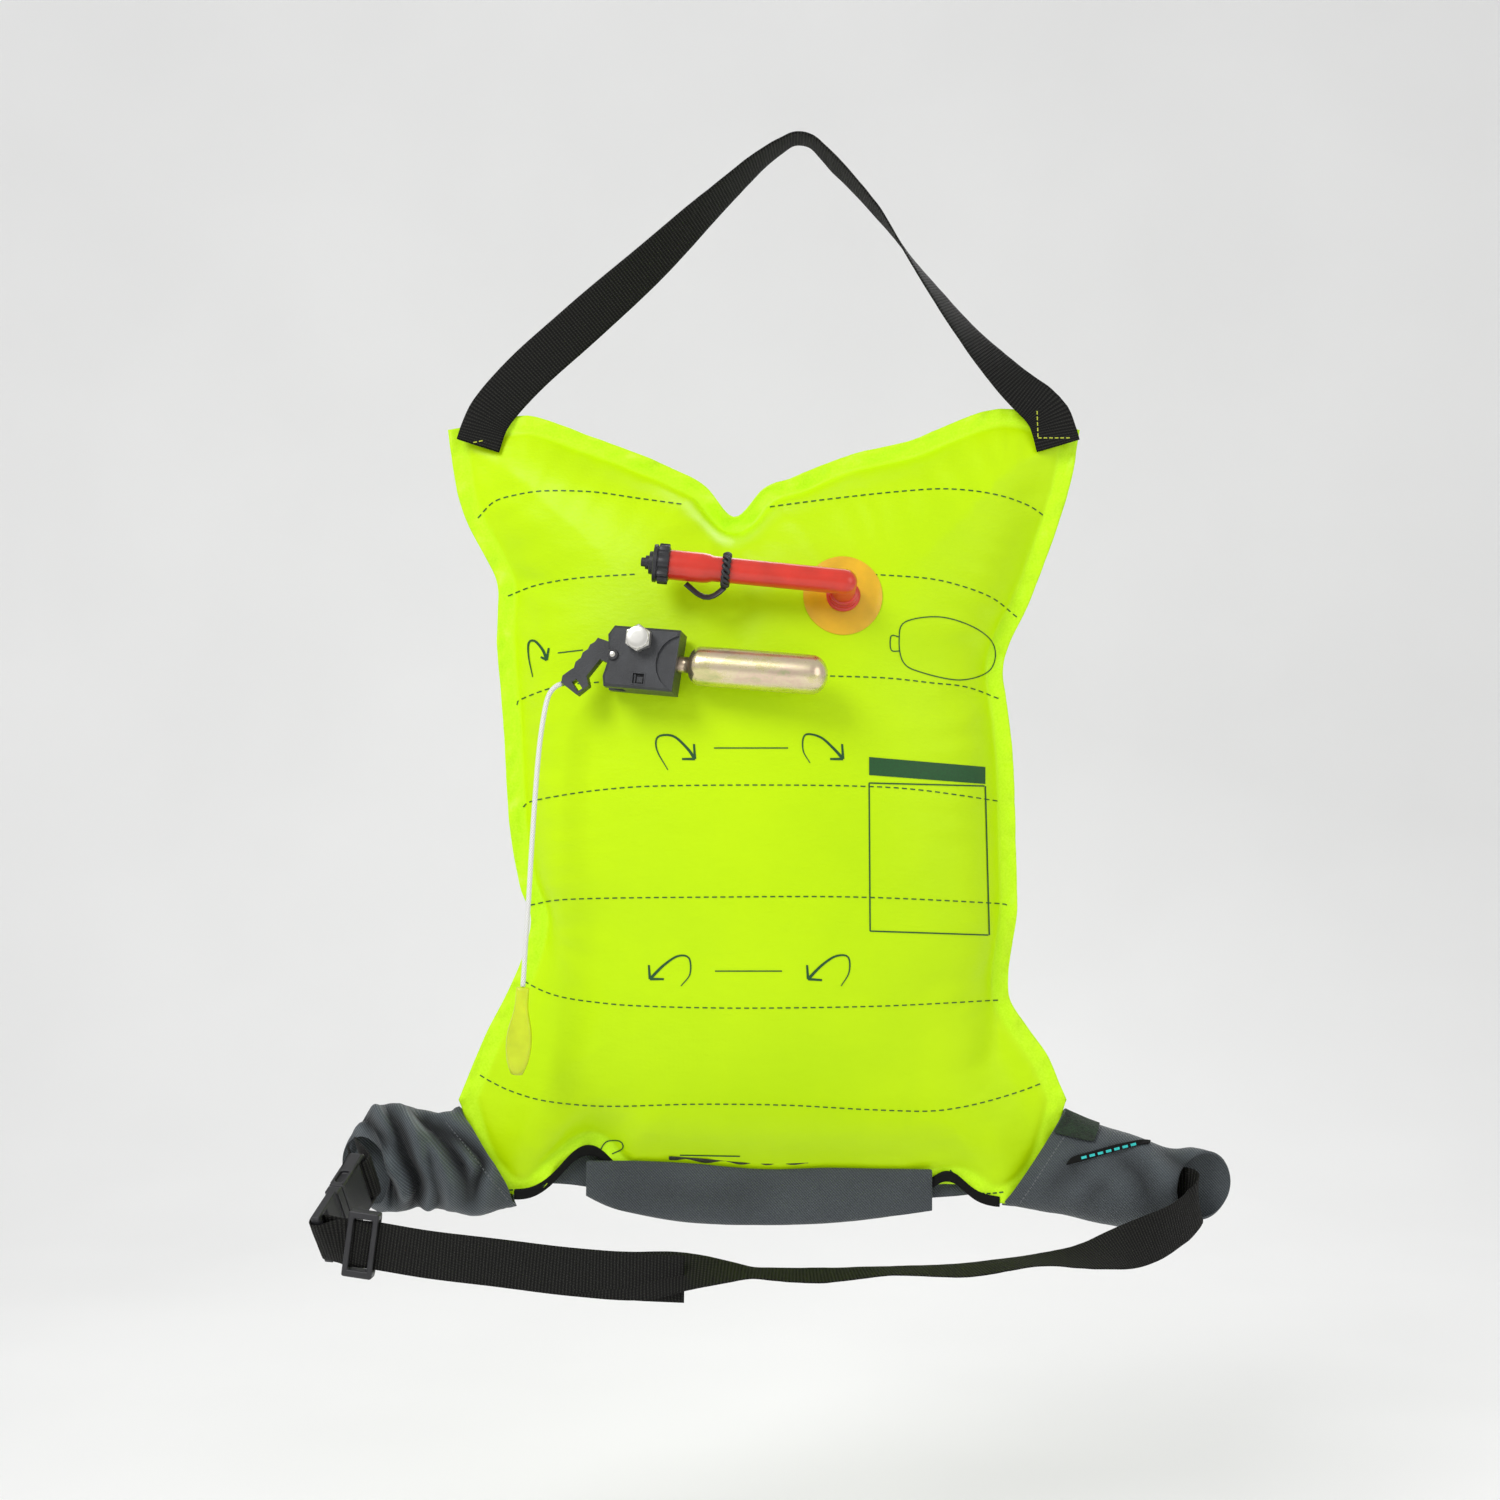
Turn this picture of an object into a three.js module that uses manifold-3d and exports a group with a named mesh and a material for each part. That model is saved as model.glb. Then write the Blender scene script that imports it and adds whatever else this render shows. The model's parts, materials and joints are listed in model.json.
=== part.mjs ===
// An inflatable belt pack, hung by its neck strap with the air cell full.
// Millimetres, +Z up, +X to the viewer's right, the front faces -Y.
// The origin is the top of the neck strap's bend, where it lies on its peg.
import * as THREE from "three";
import { mergeVertices } from "three/addons/utils/BufferGeometryUtils.js";
import Module from "manifold-3d";

const wasm = await Module();
wasm.setup();

// Air cell
const CELL_WIDTH = 357; // between the top corners
const CELL_HEIGHT = 438; // from the top corners to the lowest edge
const CELL_HALF_DEPTH = 52; // from the weld plane to the belly
const CELL_WALL = 1.2;
const WELD_WIDTH = 10; // flat margin where the two sheets are welded
const CELL_CENTRE_X = -22; // the cell hangs a little to one side of its peg
const CELL_TOP_Z = -165.5; // height of the top corners

// Webbing, the same for the neck strap and the belt
const WEB_WIDTH = 25;
const WEB_THICK = 1.5;
const GAP = 0.3; // between pieces that touch

// Mouth inflation tube
const TUBE_RADIUS = 6.6;
const MOUTHPIECE_RADIUS = 7.7;
const TUBE_BORE_RADIUS = 4.2;
const MOUTHPIECE_LENGTH = 27;
const TUBE_FOOT = { x: 20.8, z: -262 };
const TUBE_MOUTH = { x: -78, y: -66, z: -246.5 };
const TUBE_RISE = 21; // from the cell to the middle of the tube at the elbow
const TUBE_ELBOW_UP = 6; // the elbow stands above the foot
const FOOT_RADIUS = 8.6;
const FOOT_HEIGHT = 3;
const PATCH_RADIUS = 21.5;
const PATCH_THICK = 0.8;
const CAP_RADIUS = 10.2;
const CAP_LENGTH = 9;
const CAP_NIPPLE = { wide: 4.6, low: 3.4, narrow: 2.5, high: 6.4 }; // its stepped tip
const TIE = { from: MOUTHPIECE_LENGTH + 5.5, width: 6, thick: 1.3 }; // the band round the tube
const TETHER = { width: 3.6, thick: 1.1, length: 21, sag: 8 };

// Inflator
const INFLATOR_AT = { x: -83.5, z: -300.5 };
const INFLATOR_TURN = 7; // degrees that it faces to the left
const INFLATOR_TIP = 6; // degrees that it faces up
const INFLATOR_ROLL = 4.7; // degrees, the gas cylinder's end hangs lower
const HEAD_DEPTH = 25;
const HEAD_STAND_OFF = 3.2;
const HEAD_BEVEL = 1.4;
const STEM_RADIUS = 4;
const STEM_BORE_RADIUS = 2.4;
const STEM_FOOT_RADIUS = 13;
const STEM_FOOT_THICK = 2;
const NUT_FLATS = 12.7;
const NUT_HEIGHT = 6.5;
const NUT_DOME = 1.4; // its round top stands above the flats
const PIN_RADIUS = 1.6;
const PIN_HEAD = { radius: 3, thick: 1.2 };
const LEVER_THICK = 8.4;
const CYLINDER_RADIUS = 11;
const CYLINDER_LENGTH = 75;
const SHOULDER_LENGTH = 7; // from the cylinder's neck to its full width
const TAIL_LENGTH = 9.35; // its rounded end
const NECK_RADIUS = 4.4;
const NECK_LENGTH = 4.5;
const NECK_IN_HEAD = 7.1; // how far the neck is screwed into the head's side

// Pull cord
const CORD_DIAMETER = 2.7;
const HANDLE_LENGTH = 48;
const HANDLE_WIDTH = 15;
const HANDLE_THICK = 5;

// Pouch cloth and the waist ring
const CLOTH = 1.6;
const PANEL_WALL = 2.4;
const WING_LENGTH = { left: 93, right: 82 };
const WING_HEIGHT = 57;
const WING_HALF_DEPTH = 22;
const BUCKLE_LENGTH = 52;
const BUCKLE_WIDTH = 32;
const BUCKLE_THICK = 9;
const BUCKLE_WALL = 1.8;
const PLUG = { length: 24, bar: 3.6, slot: 6, thick: 5, shoulder: 8 }; // the buckle's male half
const PRONG = { length: 15, width: 3, thick: 3.6, apart: 8 };
const WEB_ROOM = 2.4; // slots and windows are this much wider than the webbing
const SLIDER = { width: 16.5, height: 35, thick: 3.2, rim: 3.2 };
const BELT_OUT = { left: 57.3, right: 15.7, below: 3.5 }; // its ends, past the cell's corners and foot
const BELT_SPAN = CELL_WIDTH + BELT_OUT.left + BELT_OUT.right;
const BELT_REACH = 98; // how far the front of the ring stands before the weld plane
const BELT_Z = CELL_TOP_Z - CELL_HEIGHT - BELT_OUT.below;
const BELT_LEFT_X = CELL_CENTRE_X - CELL_WIDTH / 2 - BELT_OUT.left;
const BUCKLE_FORE = 72; // how far the buckle's bar stands before the weld plane

const deg = THREE.MathUtils.degToRad;
const vec = (x, y, z) => new THREE.Vector3(x, y, z);
const pack = new THREE.Group();

// Adds one named sub-part.
function add(name, geometry, material, parent = pack) {
  const mesh = new THREE.Mesh(geometry, material);
  mesh.name = name;
  parent.add(mesh);
  return mesh;
}

function paint(color, roughness, metalness = 0) {
  return new THREE.MeshStandardMaterial({ color, roughness, metalness });
}

const LIME = paint(0xc2f000, 0.35);
const WEBBING = paint(0x232320, 0.85);
const GREY_CLOTH = paint(0x50555a, 0.9);
const BLACK_PLASTIC = paint(0x1c1c1e, 0.45);
const RED_PVC = paint(0xde3c2d, 0.4);
const ORANGE = paint(0xf0c300, 0.4);
const YELLOW_PLASTIC = paint(0xd7e614, 0.4);
const WHITE_CORD = paint(0xeeeeea, 0.8);
const ZINC = paint(0xb8a878, 0.3, 1);
const STEEL = paint(0xd8d6cf, 0.25, 1);
const HOOK_TAPE = paint(0x3a4420, 0.95);

// A value read from a table by its key, along a smooth curve through the rows.
function read(table, key, name, at) {
  const last = table.length - 1;
  let i = 0;
  while (i < last - 1 && at > table[i + 1][key]) i += 1;
  const a = table[i];
  const b = table[i + 1];
  const span = b[key] - a[key];
  const slope = (from, to) => (to[name] - from[name]) / (to[key] - from[key]);
  const before = i > 0 ? slope(table[i - 1], b) : slope(a, b);
  const after = i < last - 1 ? slope(a, table[i + 2]) : slope(a, b);
  const t = THREE.MathUtils.clamp((at - a[key]) / span, 0, 1);
  const h = t * t * (3 - 2 * t);
  const bend = t * (1 - t) * ((1 - t) * before - t * after) * span;
  return a[name] * (1 - h) + b[name] * h + bend;
}

// A closed surface from shared points and faces, each a list of three or four point numbers.
function solid(points, faces) {
  const geometry = new THREE.BufferGeometry();
  const flat = points.flatMap((p) => [p.x, p.y, p.z]);
  const index = faces.flatMap((f) => (f.length === 3 ? f : [f[0], f[1], f[2], f[0], f[2], f[3]]));
  geometry.setAttribute("position", new THREE.Float32BufferAttribute(flat, 3));
  geometry.setIndex(index);
  geometry.computeVertexNormals();
  return geometry;
}

// A plate between two grids of points. Its first grid faces -Y where columns run along +X and rows along +Z.
function plate(front, back) {
  const rows = front.length;
  const cols = front[0].length;
  const points = [...front.flat(), ...back.flat()];
  const f = (r, c) => r * cols + c;
  const b = (r, c) => rows * cols + r * cols + c;
  const faces = [];
  for (let r = 0; r < rows - 1; r += 1) {
    for (let c = 0; c < cols - 1; c += 1) {
      faces.push([f(r, c), f(r, c + 1), f(r + 1, c + 1), f(r + 1, c)]);
      faces.push([b(r, c), b(r + 1, c), b(r + 1, c + 1), b(r, c + 1)]);
    }
    faces.push([f(r, 0), f(r + 1, 0), b(r + 1, 0), b(r, 0)]);
    faces.push([f(r, cols - 1), b(r, cols - 1), b(r + 1, cols - 1), f(r + 1, cols - 1)]);
  }
  for (let c = 0; c < cols - 1; c += 1) {
    faces.push([f(0, c), b(0, c), b(0, c + 1), f(0, c + 1)]);
    faces.push([f(rows - 1, c), f(rows - 1, c + 1), b(rows - 1, c + 1), b(rows - 1, c)]);
  }
  return solid(points, faces);
}

// A closed tube through rings of points, with a flat cap over each end.
function loft(rings) {
  const n = rings[0].length;
  const points = rings.flat();
  const faces = [];
  for (let r = 0; r < rings.length - 1; r += 1) {
    for (let k = 0; k < n; k += 1) {
      const next = (k + 1) % n;
      faces.push([r * n + k, r * n + next, (r + 1) * n + next, (r + 1) * n + k]);
    }
  }
  const end = (rings.length - 1) * n;
  for (let k = 1; k < n - 1; k += 1) {
    faces.push([0, k + 1, k]);
    faces.push([end, end + k, end + k + 1]);
  }
  return solid(points, faces);
}

// A tube with two open ends, between outer rings and inner rings.
function sleeve(outer, inner) {
  const n = outer[0].length;
  const points = [...outer.flat(), ...inner.flat()];
  const shift = outer.length * n;
  const end = (outer.length - 1) * n;
  const faces = [];
  for (let k = 0; k < n; k += 1) {
    const next = (k + 1) % n;
    for (let r = 0; r < outer.length - 1; r += 1) {
      const a = r * n;
      faces.push([a + k, a + next, a + n + next, a + n + k]);
      faces.push([shift + a + k, shift + a + n + k, shift + a + n + next, shift + a + next]);
    }
    faces.push([k, shift + k, shift + next, next]);
    faces.push([end + k, end + next, shift + end + next, shift + end + k]);
  }
  return solid(points, faces);
}

// The geometry as a solid that can be joined and cut.
function toSolid(geometry) {
  const bare = geometry.clone();
  bare.deleteAttribute("normal");
  bare.deleteAttribute("uv");
  const merged = mergeVertices(bare, 1e-4);
  return new wasm.Manifold(
    new wasm.Mesh({
      numProp: 3,
      vertProperties: merged.attributes.position.array,
      triVerts: new Uint32Array(merged.index.array),
    }),
  );
}

function fromSolid(made) {
  const mesh = made.getMesh();
  const geometry = new THREE.BufferGeometry();
  geometry.setAttribute("position", new THREE.BufferAttribute(mesh.vertProperties, 3));
  geometry.setIndex(new THREE.BufferAttribute(mesh.triVerts, 1));
  geometry.computeVertexNormals();
  return geometry;
}

function cut(base, ...tools) {
  return fromSolid(tools.reduce((left, tool) => left.subtract(toSolid(tool)), toSolid(base)));
}

function join(base, ...others) {
  return fromSolid(others.reduce((all, other) => all.add(toSolid(other)), toSolid(base)));
}

// A cylinder along Y from the height `from` to the height `to` before the group's own plane.
function post(radius, from, to, sides = 16) {
  const made = new THREE.CylinderGeometry(radius, radius, to - from, sides);
  return made.translate(0, -(from + to) / 2, 0);
}

// A flat shape in X and Z, as thick as its depth, from the height `from` forwards.
function slabShape(shape, depth, from, bevel = 0) {
  const made = new THREE.ExtrudeGeometry(shape, {
    depth: depth - 2 * bevel,
    bevelEnabled: bevel > 0,
    bevelThickness: bevel,
    bevelSize: bevel,
    bevelOffset: -bevel,
    bevelSegments: 1,
    curveSegments: 6,
  });
  return made.translate(0, 0, from + bevel).rotateX(Math.PI / 2);
}

function outline(points) {
  return new THREE.Shape(points.map(([x, z]) => new THREE.Vector2(x, z)));
}

// Outline of the air cell. `drop` is the share of its height below the top corners, `out` the share of
// its half width from its middle.
const LEFT_EDGE = [
  { drop: 0, out: -1 },
  { drop: 0.077, out: -0.972 },
  { drop: 0.116, out: -0.943 },
  { drop: 0.155, out: -0.896 },
  { drop: 0.19, out: -0.846 },
  { drop: 0.27, out: -0.845 },
  { drop: 0.39, out: -0.823 },
  { drop: 0.5, out: -0.807 },
  { drop: 0.58, out: -0.778 },
  { drop: 0.638, out: -0.734 },
  { drop: 0.677, out: -0.766 },
  { drop: 0.715, out: -0.797 },
  { drop: 0.754, out: -0.851 },
  { drop: 0.812, out: -0.915 },
  { drop: 0.863, out: -0.965 },
];
const RIGHT_EDGE = [
  { drop: 0, out: 1 },
  { drop: 0.077, out: 0.965 },
  { drop: 0.155, out: 0.902 },
  { drop: 0.232, out: 0.829 },
  { drop: 0.27, out: 0.782 },
  { drop: 0.316, out: 0.753 },
  { drop: 0.35, out: 0.768 },
  { drop: 0.425, out: 0.788 },
  { drop: 0.54, out: 0.797 },
  { drop: 0.62, out: 0.8 },
  { drop: 0.677, out: 0.782 },
  { drop: 0.725, out: 0.772 },
  { drop: 0.76, out: 0.815 },
  { drop: 0.793, out: 0.88 },
  { drop: 0.863, out: 0.956 },
];
const TOP_EDGE = [
  { out: -1, drop: 0 },
  { out: -0.835, drop: -0.013 },
  { out: -0.741, drop: -0.018 },
  { out: -0.551, drop: 0.008 },
  { out: -0.361, drop: 0.037 },
  { out: -0.234, drop: 0.061 },
  { out: -0.165, drop: 0.08 },
  { out: -0.108, drop: 0.116 },
  { out: -0.051, drop: 0.086 },
  { out: 0.082, drop: 0.063 },
  { out: 0.272, drop: 0.032 },
  { out: 0.462, drop: 0.014 },
  { out: 0.652, drop: -0.018 },
  { out: 0.778, drop: -0.028 },
  { out: 0.9, drop: -0.014 },
  { out: 1, drop: 0 },
];
const BOTTOM_EDGE = [
  { out: -0.965, drop: 0.863 },
  { out: -0.92, drop: 0.925 },
  { out: -0.867, drop: 0.962 },
  { out: -0.81, drop: 0.984 },
  { out: -0.741, drop: 0.986 },
  { out: -0.671, drop: 0.969 },
  { out: -0.604, drop: 0.937 },
  { out: -0.551, drop: 0.927 },
  { out: -0.5, drop: 0.938 },
  { out: -0.44, drop: 0.966 },
  { out: 0, drop: 0.982 },
  { out: 0.52, drop: 0.977 },
  { out: 0.585, drop: 0.956 },
  { out: 0.636, drop: 0.98 },
  { out: 0.699, drop: 0.994 },
  { out: 0.78, drop: 0.994 },
  { out: 0.85, drop: 0.973 },
  { out: 0.91, drop: 0.93 },
  { out: 0.956, drop: 0.863 },
];

// Dents that run in from the edge: side -1 left or 1 right, with shares of the cell's height and half width.
const DENTS = [
  { side: -1, drop: 0.19, depth: 0.68, width: 0.028, reach: 0.118 },
  { side: -1, drop: 0.638, depth: 0.8, width: 0.032, reach: 0.136 },
  { side: -1, drop: 0.4, depth: 0.24, width: 0.03, reach: 0.091 },
  { side: 1, drop: 0.316, depth: 0.64, width: 0.03, reach: 0.127 },
  { side: 1, drop: 0.72, depth: 0.72, width: 0.03, reach: 0.136 },
  { side: 1, drop: 0.52, depth: 0.24, width: 0.03, reach: 0.091 },
];

const HALF_WIDTH = CELL_WIDTH / 2;
const toX = (out) => CELL_CENTRE_X + out * HALF_WIDTH;
const toZ = (drop) => CELL_TOP_Z - drop * CELL_HEIGHT;

const EDGE_FADE = 2.5; // how fast the top's notch and the bottom's arches fade into the cell

// The point of the cell's outline plane at the shares u from left to right and v from bottom to top.
function cellPlane(u, v) {
  const ends = [BOTTOM_EDGE[0], BOTTOM_EDGE.at(-1)];
  const low = ends[0].out + (ends[1].out - ends[0].out) * u;
  const high = 2 * u - 1;
  const down = ends[0].drop * (1 - v);
  const left = read(LEFT_EDGE, "drop", "out", down);
  const right = read(RIGHT_EDGE, "drop", "out", down);
  const bottom = read(BOTTOM_EDGE, "out", "drop", low);
  const top = read(TOP_EDGE, "out", "drop", high);
  const lowShare = ends[0].out * (1 - u) + ends[1].out * u;
  const out = (1 - u) * left + u * right + (1 - v) * (low - lowShare);
  const drop = down + v ** EDGE_FADE * top + (1 - v) ** EDGE_FADE * (bottom - ends[0].drop);
  return { out, drop };
}

// How full the cell is across and along it: a power of the distance from its middle, then a power of
// what is left, which is steeper at the weld the smaller it is.
const FULL_ACROSS = { middle: 2.2, edge: 0.6 };
const FULL_ALONG = { middle: 2.6, edge: 0.55 };

// Half the cell's depth at u and v, without the wall.
function cellDepth(u, v, out, drop) {
  const across = Math.max(0, 1 - Math.abs(2 * u - 1) ** FULL_ACROSS.middle) ** FULL_ACROSS.edge;
  const along = Math.max(0, 1 - Math.abs(2 * v - 1) ** FULL_ALONG.middle) ** FULL_ALONG.edge;
  let depth = CELL_HALF_DEPTH * across * along;
  for (const dent of DENTS) {
    const edge = dent.side < 0 ? LEFT_EDGE : RIGHT_EDGE;
    const inward = Math.max(0, dent.side * (read(edge, "drop", "out", drop) - out));
    const aside = (drop - dent.drop) / dent.width;
    depth *= 1 - dent.depth * Math.exp(-inward / dent.reach - aside * aside);
  }
  return depth;
}

const CELL_COLS = 20;
const CELL_ROWS = 23;
const MEAN_WIDTH = CELL_WIDTH * 0.84;
const MEAN_HEIGHT = CELL_HEIGHT * 0.9;

// The grid's shares: the weld margin's outer and inner line at each end, even steps between.
function shares(steps, size) {
  const margin = WELD_WIDTH / size;
  const inner = Array.from({ length: steps + 1 }, (_, i) => margin + (1 - 2 * margin) * (i / steps));
  return [0, ...inner, 1];
}

const U_LINES = shares(CELL_COLS, MEAN_WIDTH);
const V_LINES = shares(CELL_ROWS, MEAN_HEIGHT);

// One sheet of the cell as a grid of points, side -1 in front and 1 behind.
function sheet(side, thick, uLines, vLines) {
  const u0 = U_LINES[1];
  const v0 = V_LINES[1];
  return vLines.map((v) =>
    uLines.map((u) => {
      const { out, drop } = cellPlane(u, v);
      const uIn = THREE.MathUtils.clamp((u - u0) / (1 - 2 * u0), 0, 1);
      const vIn = THREE.MathUtils.clamp((v - v0) / (1 - 2 * v0), 0, 1);
      return vec(toX(out), side * (thick + cellDepth(uIn, vIn, out, drop)), toZ(drop));
    }),
  );
}

const FRONT_SHEET = sheet(-1, CELL_WALL, U_LINES, V_LINES);

// How far the cell's front stands before the weld plane at x and z, 0 outside its outline.
function frontAt(x, z) {
  for (let r = 0; r < FRONT_SHEET.length - 1; r += 1) {
    for (let c = 0; c < FRONT_SHEET[0].length - 1; c += 1) {
      const quad = [
        FRONT_SHEET[r][c],
        FRONT_SHEET[r][c + 1],
        FRONT_SHEET[r + 1][c + 1],
        FRONT_SHEET[r + 1][c],
      ];
      for (const [a, b, d] of [[quad[0], quad[1], quad[2]], [quad[0], quad[2], quad[3]]]) {
        const area = (b.x - a.x) * (d.z - a.z) - (d.x - a.x) * (b.z - a.z);
        const s = ((x - a.x) * (d.z - a.z) - (d.x - a.x) * (z - a.z)) / area;
        const t = ((b.x - a.x) * (z - a.z) - (x - a.x) * (b.z - a.z)) / area;
        if (s >= -1e-9 && t >= -1e-9 && s + t <= 1 + 1e-9) {
          return -(a.y + s * (b.y - a.y) + t * (d.y - a.y));
        }
      }
    }
  }
  return 0;
}

// A frame on the cell's front, with its own -Y pointing out of the cell.
function seat(at, turn, tip, roll) {
  const group = new THREE.Group();
  group.position.set(at.x, -frontAt(at.x, at.z), at.z);
  group.rotation.set(-deg(tip), deg(roll), -deg(turn), "ZXY");
  pack.add(group);
  return group;
}

const inflator = seat(INFLATOR_AT, INFLATOR_TURN, INFLATOR_TIP, INFLATOR_ROLL);
inflator.updateMatrixWorld(true);

function makeBladder() {
  const uInner = U_LINES.slice(1, -1);
  const vInner = V_LINES.slice(1, -1);
  const hull = plate(FRONT_SHEET, sheet(1, CELL_WALL, U_LINES, V_LINES));
  const front = sheet(-1, 0, uInner, vInner);
  const back = sheet(1, 0, uInner, vInner);
  const cavity = plate(front, back);
  const port = new THREE.CylinderGeometry(TUBE_BORE_RADIUS, TUBE_BORE_RADIUS, 12, 10);
  port.translate(TUBE_FOOT.x, -frontAt(TUBE_FOOT.x, TUBE_FOOT.z), TUBE_FOOT.z);
  const stemPort = post(STEM_BORE_RADIUS, -6, 6, 10).applyMatrix4(inflator.matrixWorld);
  add("bladder", cut(hull, cavity, port, stemPort), LIME);
}

// A flat ribbon of webbing through stations with a middle point, a direction across and a direction out.
function ribbon(stations, width = WEB_WIDTH, thick = WEB_THICK) {
  const corner = (s, a, b) =>
    s.at
      .clone()
      .addScaledVector(s.across, (a * width) / 2)
      .addScaledVector(s.out, (b * thick) / 2);
  return loft(
    stations.map((s) => [corner(s, -1, -1), corner(s, 1, -1), corner(s, 1, 1), corner(s, -1, 1)]),
  );
}

// Stations along a smooth path, turned round it by the table's own angle: 0 has its width upright.
function stations(points, turns, steps) {
  const path = new THREE.CatmullRomCurve3(points, false, "centripetal");
  return Array.from({ length: steps + 1 }, (_, i) => {
    const t = i / steps;
    const along = path.getTangentAt(t);
    const place = path.getUtoTmapping(t) * (points.length - 1);
    const low = Math.min(Math.floor(place), points.length - 2);
    const turn = THREE.MathUtils.lerp(turns[low], turns[low + 1], place - low);
    const side = vec(0, 1, 0).cross(along).normalize();
    const across = side.applyAxisAngle(along, deg(turn));
    return { at: path.getPointAt(t), across, out: along.clone().cross(across).normalize() };
  });
}

// Neck strap, from the left corner over the peg to the right corner. `out` and `drop` are shares of the
// cell's half width and of the strap's own rise, `turn` is how far its width is turned out of the front.
const STRAP_ROUTE = [
  { out: -0.9, drop: 1.06, turn: 0 },
  { out: -0.87, drop: 0.96, turn: 0 },
  { out: -0.77, drop: 0.83, turn: 4 },
  { out: -0.585, drop: 0.645, turn: 16 },
  { out: -0.35, drop: 0.42, turn: 42 },
  { out: -0.15, drop: 0.215, turn: 66 },
  { out: 0.02, drop: 0.055, turn: 82 },
  { out: 0.123, drop: 0.003, turn: 90 },
  { out: 0.225, drop: 0.095, turn: 84 },
  { out: 0.363, drop: 0.262, turn: 90 },
  { out: 0.5, drop: 0.47, turn: 108 },
  { out: 0.65, drop: 0.68, turn: 126 },
  { out: 0.795, drop: 0.85, turn: 152 },
  { out: 0.895, drop: 0.95, turn: 172 },
  { out: 0.925, drop: 1.06, turn: 180 },
];

// The shares of the strap's rise over which it comes forward onto the cell's front.
const STRAP_LANDS = { from: 0.6, to: 0.84 };

function makeNeckStrap() {
  const rise = -CELL_TOP_Z;
  const lift = 3 * GAP + WEB_THICK / 2;
  const points = STRAP_ROUTE.map((row) => {
    const x = toX(row.out);
    const z = -row.drop * rise;
    const reach = WEB_WIDTH / 2;
    const under = [-1, 0, 1].flatMap((k) => [-5, 3].map((down) => frontAt(x + k * reach, z + down)));
    const before = Math.max(CELL_WALL, ...under) + lift;
    return vec(x, -before * THREE.MathUtils.smoothstep(row.drop, STRAP_LANDS.from, STRAP_LANDS.to), z);
  });
  const made = stations(points, STRAP_ROUTE.map((row) => row.turn), 52);
  add("neck_strap", ribbon(made), WEBBING);
}

// A tube of changing radius through points, with its rings square to the path.
function tube(points, radiusAt, sides, steps) {
  const path = new THREE.CatmullRomCurve3(points, false, "centripetal");
  const { normals, binormals } = path.computeFrenetFrames(steps, false);
  const rings = Array.from({ length: steps + 1 }, (_, i) => {
    const t = i / steps;
    const middle = path.getPointAt(t);
    const radius = radiusAt(t * path.getLength());
    return Array.from({ length: sides }, (_unused, k) => {
      const angle = (2 * Math.PI * k) / sides;
      return middle
        .clone()
        .addScaledVector(normals[i], radius * Math.cos(angle))
        .addScaledVector(binormals[i], radius * Math.sin(angle));
    });
  });
  return loft(rings);
}

// Route of the mouth tube from its foot on the cell to its mouth.
function tubeRoute() {
  const y = -frontAt(TUBE_FOOT.x, TUBE_FOOT.z);
  const mouth = vec(TUBE_MOUTH.x, TUBE_MOUTH.y, TUBE_MOUTH.z);
  const foot = vec(TUBE_FOOT.x, y - 3 * GAP, TUBE_FOOT.z);
  const elbow = vec(TUBE_FOOT.x, y - TUBE_RISE, TUBE_FOOT.z + TUBE_ELBOW_UP);
  const run = mouth.clone().sub(elbow).normalize();
  const bend = TUBE_RADIUS * 1.5;
  const points = [
    foot,
    foot.clone().lerp(elbow, 0.45),
    elbow.clone().add(vec(0, 3.4, -1)).addScaledVector(run, bend * 0.22),
    elbow.clone().addScaledVector(run, bend),
    elbow.clone().lerp(mouth, 0.5),
    mouth,
  ];
  return { points, mouth, run };
}

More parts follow.
